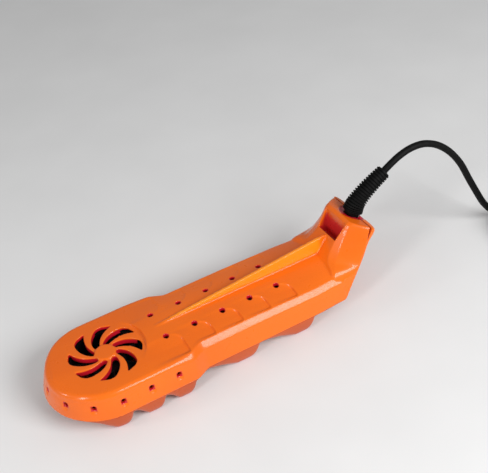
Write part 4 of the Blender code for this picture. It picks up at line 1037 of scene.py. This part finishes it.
class Finish:
    """A procedural material that is put together step by step."""

    def __init__(self, name, roughness=0.4, metallic=0.0, coat=0.0):
        self.material = bpy.data.materials.new(name)
        self.material.use_nodes = True
        self.nodes = self.material.node_tree.nodes
        self.links = self.material.node_tree.links
        self.shader = self.nodes["Principled BSDF"]
        self.shader.inputs["Roughness"].default_value = roughness
        self.shader.inputs["Metallic"].default_value = metallic
        self.shader.inputs["Coat Weight"].default_value = coat
        self.shader.inputs["Coat Roughness"].default_value = 0.09
        self.coordinates = self.nodes.new("ShaderNodeTexCoord").outputs["Object"]

    def noise(self, size, detail=3.0, stretch=(1.0, 1.0, 1.0)):
        """Noise with features of about size millimetres."""
        mapping = self.nodes.new("ShaderNodeMapping")
        mapping.inputs["Scale"].default_value = stretch
        self.links.new(self.coordinates, mapping.inputs["Vector"])
        noise = self.nodes.new("ShaderNodeTexNoise")
        noise.inputs["Scale"].default_value = 1.0 / (size * MM)
        noise.inputs["Detail"].default_value = detail
        self.links.new(mapping.outputs["Vector"], noise.inputs["Vector"])
        return noise.outputs["Fac"]

    def ramp(self, value, stops):
        """Colours or greys over a value, as (place, colour) stops."""
        ramp = self.nodes.new("ShaderNodeValToRGB")
        elements = ramp.color_ramp.elements
        while len(elements) < len(stops):
            elements.new(0.5)
        for element, (spot, colour) in zip(elements, stops):
            element.position = spot
            element.color = (*colour, 1.0) if isinstance(colour, tuple) else (colour, colour, colour, 1.0)
        self.links.new(value, ramp.inputs["Fac"])
        return ramp.outputs["Color"]

    def mix(self, share, first, second, blend="MIX"):
        """First colour where share is 0 and second, or its blend with the first, where it is 1."""
        mix = self.nodes.new("ShaderNodeMix")
        mix.data_type = "RGBA"
        mix.blend_type = blend
        for socket, value in ((mix.inputs[0], share), (mix.inputs[6], first), (mix.inputs[7], second)):
            if isinstance(value, float):
                socket.default_value = value
            elif isinstance(value, tuple):
                socket.default_value = (*value, 1.0)
            else:
                self.links.new(value, socket)
        return mix.outputs[2]

    def colour(self, value):
        """Set the base colour."""
        self.links.new(value, self.shader.inputs["Base Color"])

    def roughness(self, value):
        """Set the roughness from a grey."""
        self.links.new(value, self.shader.inputs["Roughness"])

    def painted_shade(self, reach, low, high):
        """Share of painted shade: 0 in the open and 1 deep inside hollows narrower than about reach
        millimetres, found by ambient occlusion.
        """
        closed = self.nodes.new("ShaderNodeAmbientOcclusion")
        closed.samples = 8
        closed.inputs["Distance"].default_value = reach * MM
        return self.ramp(closed.outputs["AO"], ((low, 1.0), (high, 0.0)))

    def painted(self, name):
        """A value stored on the mesh's points."""
        stored = self.nodes.new("ShaderNodeAttribute")
        stored.attribute_name = name
        return stored.outputs["Fac"]

    def bump(self, value, distance, strength=1.0):
        """Raise the surface by about distance millimetres."""
        bump = self.nodes.new("ShaderNodeBump")
        bump.inputs["Distance"].default_value = distance * MM
        bump.inputs["Strength"].default_value = strength
        self.links.new(value, bump.inputs["Height"])
        if self.shader.inputs["Normal"].is_linked:
            self.links.new(self.shader.inputs["Normal"].links[0].from_socket, bump.inputs["Normal"])
        self.links.new(bump.outputs["Normal"], self.shader.inputs["Normal"])


def moulded_plastic(name, light, deep, bright, roughness=0.3):
    """Glossy moulded plastic with faint flow marks, painted crimson shade in creases and where the mesh marks
    painted shade, and painted lighter where the mesh marks painted light.
    """
    finish = Finish(name, roughness, coat=0.38)
    finish.shader.inputs["Specular IOR Level"].default_value = 0.24
    flow = finish.noise(34.0, 2.0, (0.45, 1.0, 1.0))
    body = finish.ramp(flow, ((0.35, deep), (0.65, light)))
    speck = finish.ramp(finish.noise(0.5, 2.0), ((0.42, (0.93, 0.93, 0.93)), (0.62, (1.0, 1.0, 1.0))))
    tint = finish.mix(0.5, body, speck, "MULTIPLY")
    # Painted light: lighter colour where the mesh marks it, the rib's glow or the rear plate out of the
    # tray's painted shade
    lit = finish.mix(finish.painted("bright"), tint, bright)
    # Painted shade: creases and narrow hollows found by ambient occlusion turn crimson
    shaded = finish.mix(finish.painted_shade(4.0, 0.25, 0.7), lit, SHADE_CRIMSON)
    # Painted shade: deep red wherever the mesh's painted shade attribute marks slot, hole, pocket and recess
    # walls
    finish.colour(finish.mix(finish.painted("painted_shade"), shaded, SHADE_CRIMSON))
    wear = finish.noise(7.0, 4.0)
    finish.roughness(finish.ramp(wear, ((0.3, roughness - 0.04), (0.7, roughness + 0.07))))
    finish.bump(finish.noise(0.35, 2.0), 0.02, 0.25)
    finish.bump(finish.noise(16.0, 1.0), 0.06, 0.2)
    return finish.material


def rubber(name, grey, roughness):
    """Dull black rubber with dust in its pores."""
    finish = Finish(name, roughness)
    finish.shader.inputs["Specular IOR Level"].default_value = 0.14
    dust = finish.noise(2.2, 5.0)
    finish.colour(finish.ramp(dust, ((0.4, grey), (0.75, grey * 2.6))))
    finish.roughness(finish.ramp(finish.noise(4.0, 3.0), ((0.3, roughness - 0.08), (0.7, roughness + 0.1))))
    finish.bump(finish.noise(0.4, 3.0), 0.03, 0.5)
    return finish.material


def metal(name, light, deep, roughness, stretch=(1.0, 1.0, 8.0)):
    """Metal with a fine drawn grain and a little tarnish."""
    finish = Finish(name, roughness, 1.0)
    finish.colour(finish.ramp(finish.noise(3.0, 4.0), ((0.3, deep), (0.7, light))))
    grain = finish.noise(0.3, 3.0, stretch)
    finish.roughness(finish.ramp(grain, ((0.3, roughness - 0.08), (0.7, roughness + 0.15))))
    finish.bump(grain, 0.01, 0.3)
    return finish.material


def matt(name, light, deep, roughness, size=2.0, bump=0.03, gloss=0.5):
    """Dull solid stuff with a mottled colour and a fine grain."""
    finish = Finish(name, roughness)
    finish.shader.inputs["Specular IOR Level"].default_value = gloss
    finish.colour(finish.ramp(finish.noise(size, 4.0), ((0.35, deep), (0.7, light))))
    finish.roughness(finish.ramp(finish.noise(size, 2.0), ((0.3, roughness - 0.06), (0.7, roughness + 0.06))))
    finish.bump(finish.noise(size / 5.0, 3.0), bump, 0.5)
    return finish.material


def weave(name, light, deep):
    """Woven strap with a fluffy pile."""
    finish = Finish(name, 0.9)
    wave = finish.nodes.new("ShaderNodeTexWave")
    wave.inputs["Scale"].default_value = 420.0
    wave.inputs["Distortion"].default_value = 3.0
    finish.links.new(finish.coordinates, wave.inputs["Vector"])
    finish.colour(finish.ramp(wave.outputs["Fac"], ((0.3, deep), (0.8, light))))
    finish.bump(wave.outputs["Fac"], 0.12, 0.7)
    finish.bump(finish.noise(0.3, 3.0), 0.1, 0.7)
    return finish.material


def floor_material():
    """Pale matt floor with the faintest mottling."""
    finish = Finish("floor_paint", 0.75)
    finish.colour(finish.ramp(finish.noise(60.0, 2.0), ((0.3, 0.78), (0.7, 0.81))))
    return finish.material


def make_materials():
    """Every finish by the name of the record's material slot, and the gasket's black foam."""
    return {
        "orange_plastic": moulded_plastic("orange_moulding", ORANGE, ORANGE_DEEP, GLOW_AMBER),
        # The tray is painted darker as shade, with its rear plate back to the upper orange
        "orange_plastic_lower": moulded_plastic("orange_tray_painted_shade", TRAY_PAINTED_SHADE, TRAY_PAINTED_SHADE_DEEP, ORANGE),
        "black_rubber": rubber("black_rubber_skin", 0.0018, 0.6),
        "black_plastic": matt("black_glass_nylon", (0.006,) * 3, (0.003,) * 3, 0.6, gloss=0.12),
        "grey_foam": weave("grey_pile", (0.13, 0.13, 0.135), (0.05, 0.05, 0.052)),
        "black_foam": matt("black_foam", (0.006,) * 3, (0.002,) * 3, 0.95, 1.0, 0.2, 0.05),
        "zinc_steel": metal("zinc_plating", (0.72, 0.72, 0.69), (0.5, 0.5, 0.48), 0.34),
        "ferrite": matt("ferrite_ceramic", (0.08, 0.08, 0.085), (0.04, 0.04, 0.042), 0.6),
        "sintered_bronze": metal("oiled_bronze", (0.5, 0.31, 0.13), (0.36, 0.22, 0.09), 0.5),
        "enamelled_copper": metal("wound_copper", (0.66, 0.25, 0.09), (0.45, 0.15, 0.05), 0.35,
                                  (14.0, 14.0, 1.0)),
        "green_laminate": matt("solder_mask", (0.03, 0.2, 0.08), (0.015, 0.12, 0.05), 0.4),
        "aluminium": metal("rolled_aluminium", (0.8, 0.81, 0.82), (0.62, 0.63, 0.64), 0.38, (1.0, 9.0, 1.0)),
        "ceramic": matt("fired_ceramic", (0.78, 0.75, 0.69), (0.66, 0.63, 0.57), 0.6),
        "mica_board": matt("mica_sheet", (0.56, 0.47, 0.34), (0.4, 0.32, 0.22), 0.5),
        "white_nylon": matt("white_nylon_skin", (0.83, 0.82, 0.78), (0.72, 0.7, 0.66), 0.4),
        "red_insulation": matt("red_wire_skin", (0.56, 0.025, 0.02), (0.4, 0.015, 0.015), 0.42),
        "nickel_plate": metal("bright_nickel", (0.76, 0.74, 0.7), (0.6, 0.58, 0.54), 0.2),
    }


def dress(item, material):
    """Give an object one material."""
    item.data.materials.clear()
    item.data.materials.append(material)


def dress_nodes(materials):
    """Give every CAD node the finish of its material slot."""
    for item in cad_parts.values():
        for slot in item.material_slots:
            slot.material = materials[slot.material.name.split(".")[0]]


# ---- Camera and light ----


def make_camera():
    """A camera over the near side of the toe, which looks towards the heel."""
    azimuth = math.radians(CAMERA_AZIMUTH)
    elevation = math.radians(CAMERA_ELEVATION)
    roll = math.radians(CAMERA_ROLL)
    back = Vector((math.sin(azimuth) * math.cos(elevation), -math.cos(azimuth) * math.cos(elevation),
                   math.sin(elevation)))
    right = (-back).cross(UP).normalized()
    up = right.cross(-back)
    side = right * math.cos(roll) + up * math.sin(roll)
    rise = up * math.cos(roll) - right * math.sin(roll)
    spot = (back * CAMERA_DISTANCE + side * CAMERA_SIDE + rise * CAMERA_RISE) * MM + GRILLE
    data = bpy.data.cameras.new("camera")
    data.sensor_width = CAMERA_SENSOR
    data.lens = CAMERA_LENS
    data.clip_start = 0.01
    camera = link("camera", data)
    camera.matrix_world = Matrix((side, rise, back)).transposed().to_4x4()
    camera.location = spot
    bpy.context.scene.camera = camera


def area_light(name, spot, target, size, energy):
    """A soft rectangular white lamp aimed at a target."""
    data = bpy.data.lights.new(name, "AREA")
    data.shape = "RECTANGLE"
    data.size, data.size_y = size
    data.energy = energy
    lamp = link(name, data)
    lamp.location = spot
    lamp.rotation_euler = (Vector(target) - Vector(spot)).to_track_quat("-Z", "Y").to_euler()


def make_light():
    """Soft studio light: a large lamp over the near side, two lamps ahead of the toe and a pale surround."""
    for lamp in LAMPS:
        area_light(*lamp)
    world = bpy.data.worlds.new("surround")
    world.use_nodes = True
    world.node_tree.nodes["Background"].inputs["Color"].default_value = (1.0, 1.0, 1.0, 1.0)
    world.node_tree.nodes["Background"].inputs["Strength"].default_value = SURROUND
    bpy.context.scene.world = world
    bpy.context.scene.view_settings.view_transform = "Standard"


# ---- The scene ----

make_camera()
make_light()
finishes = make_materials()
dress_nodes(finishes)
dress(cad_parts["fan_gasket"], finishes["black_foam"])

floor = stage_floor()
dress(floor, floor_material())

strap = coil_strap()
dress(strap, finishes["grey_foam"])
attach(strap, "housing")
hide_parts("coil_tie")

line = cord_line()
flex = cord_piece(line)
dress(flex, finishes["black_rubber"])
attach(flex, "housing")
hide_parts("cord", "cord_coil")

relief = strain_relief()
dress(relief, finishes["black_rubber"])
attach(relief, "housing")
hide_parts("strain_relief")

upper = upper_housing()
dress(upper, finishes["orange_plastic"])
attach(upper, "housing")
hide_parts("upper_housing")

lower = lower_housing()
dress(lower, finishes["orange_plastic_lower"])
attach(lower, "housing")
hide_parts("lower_housing")
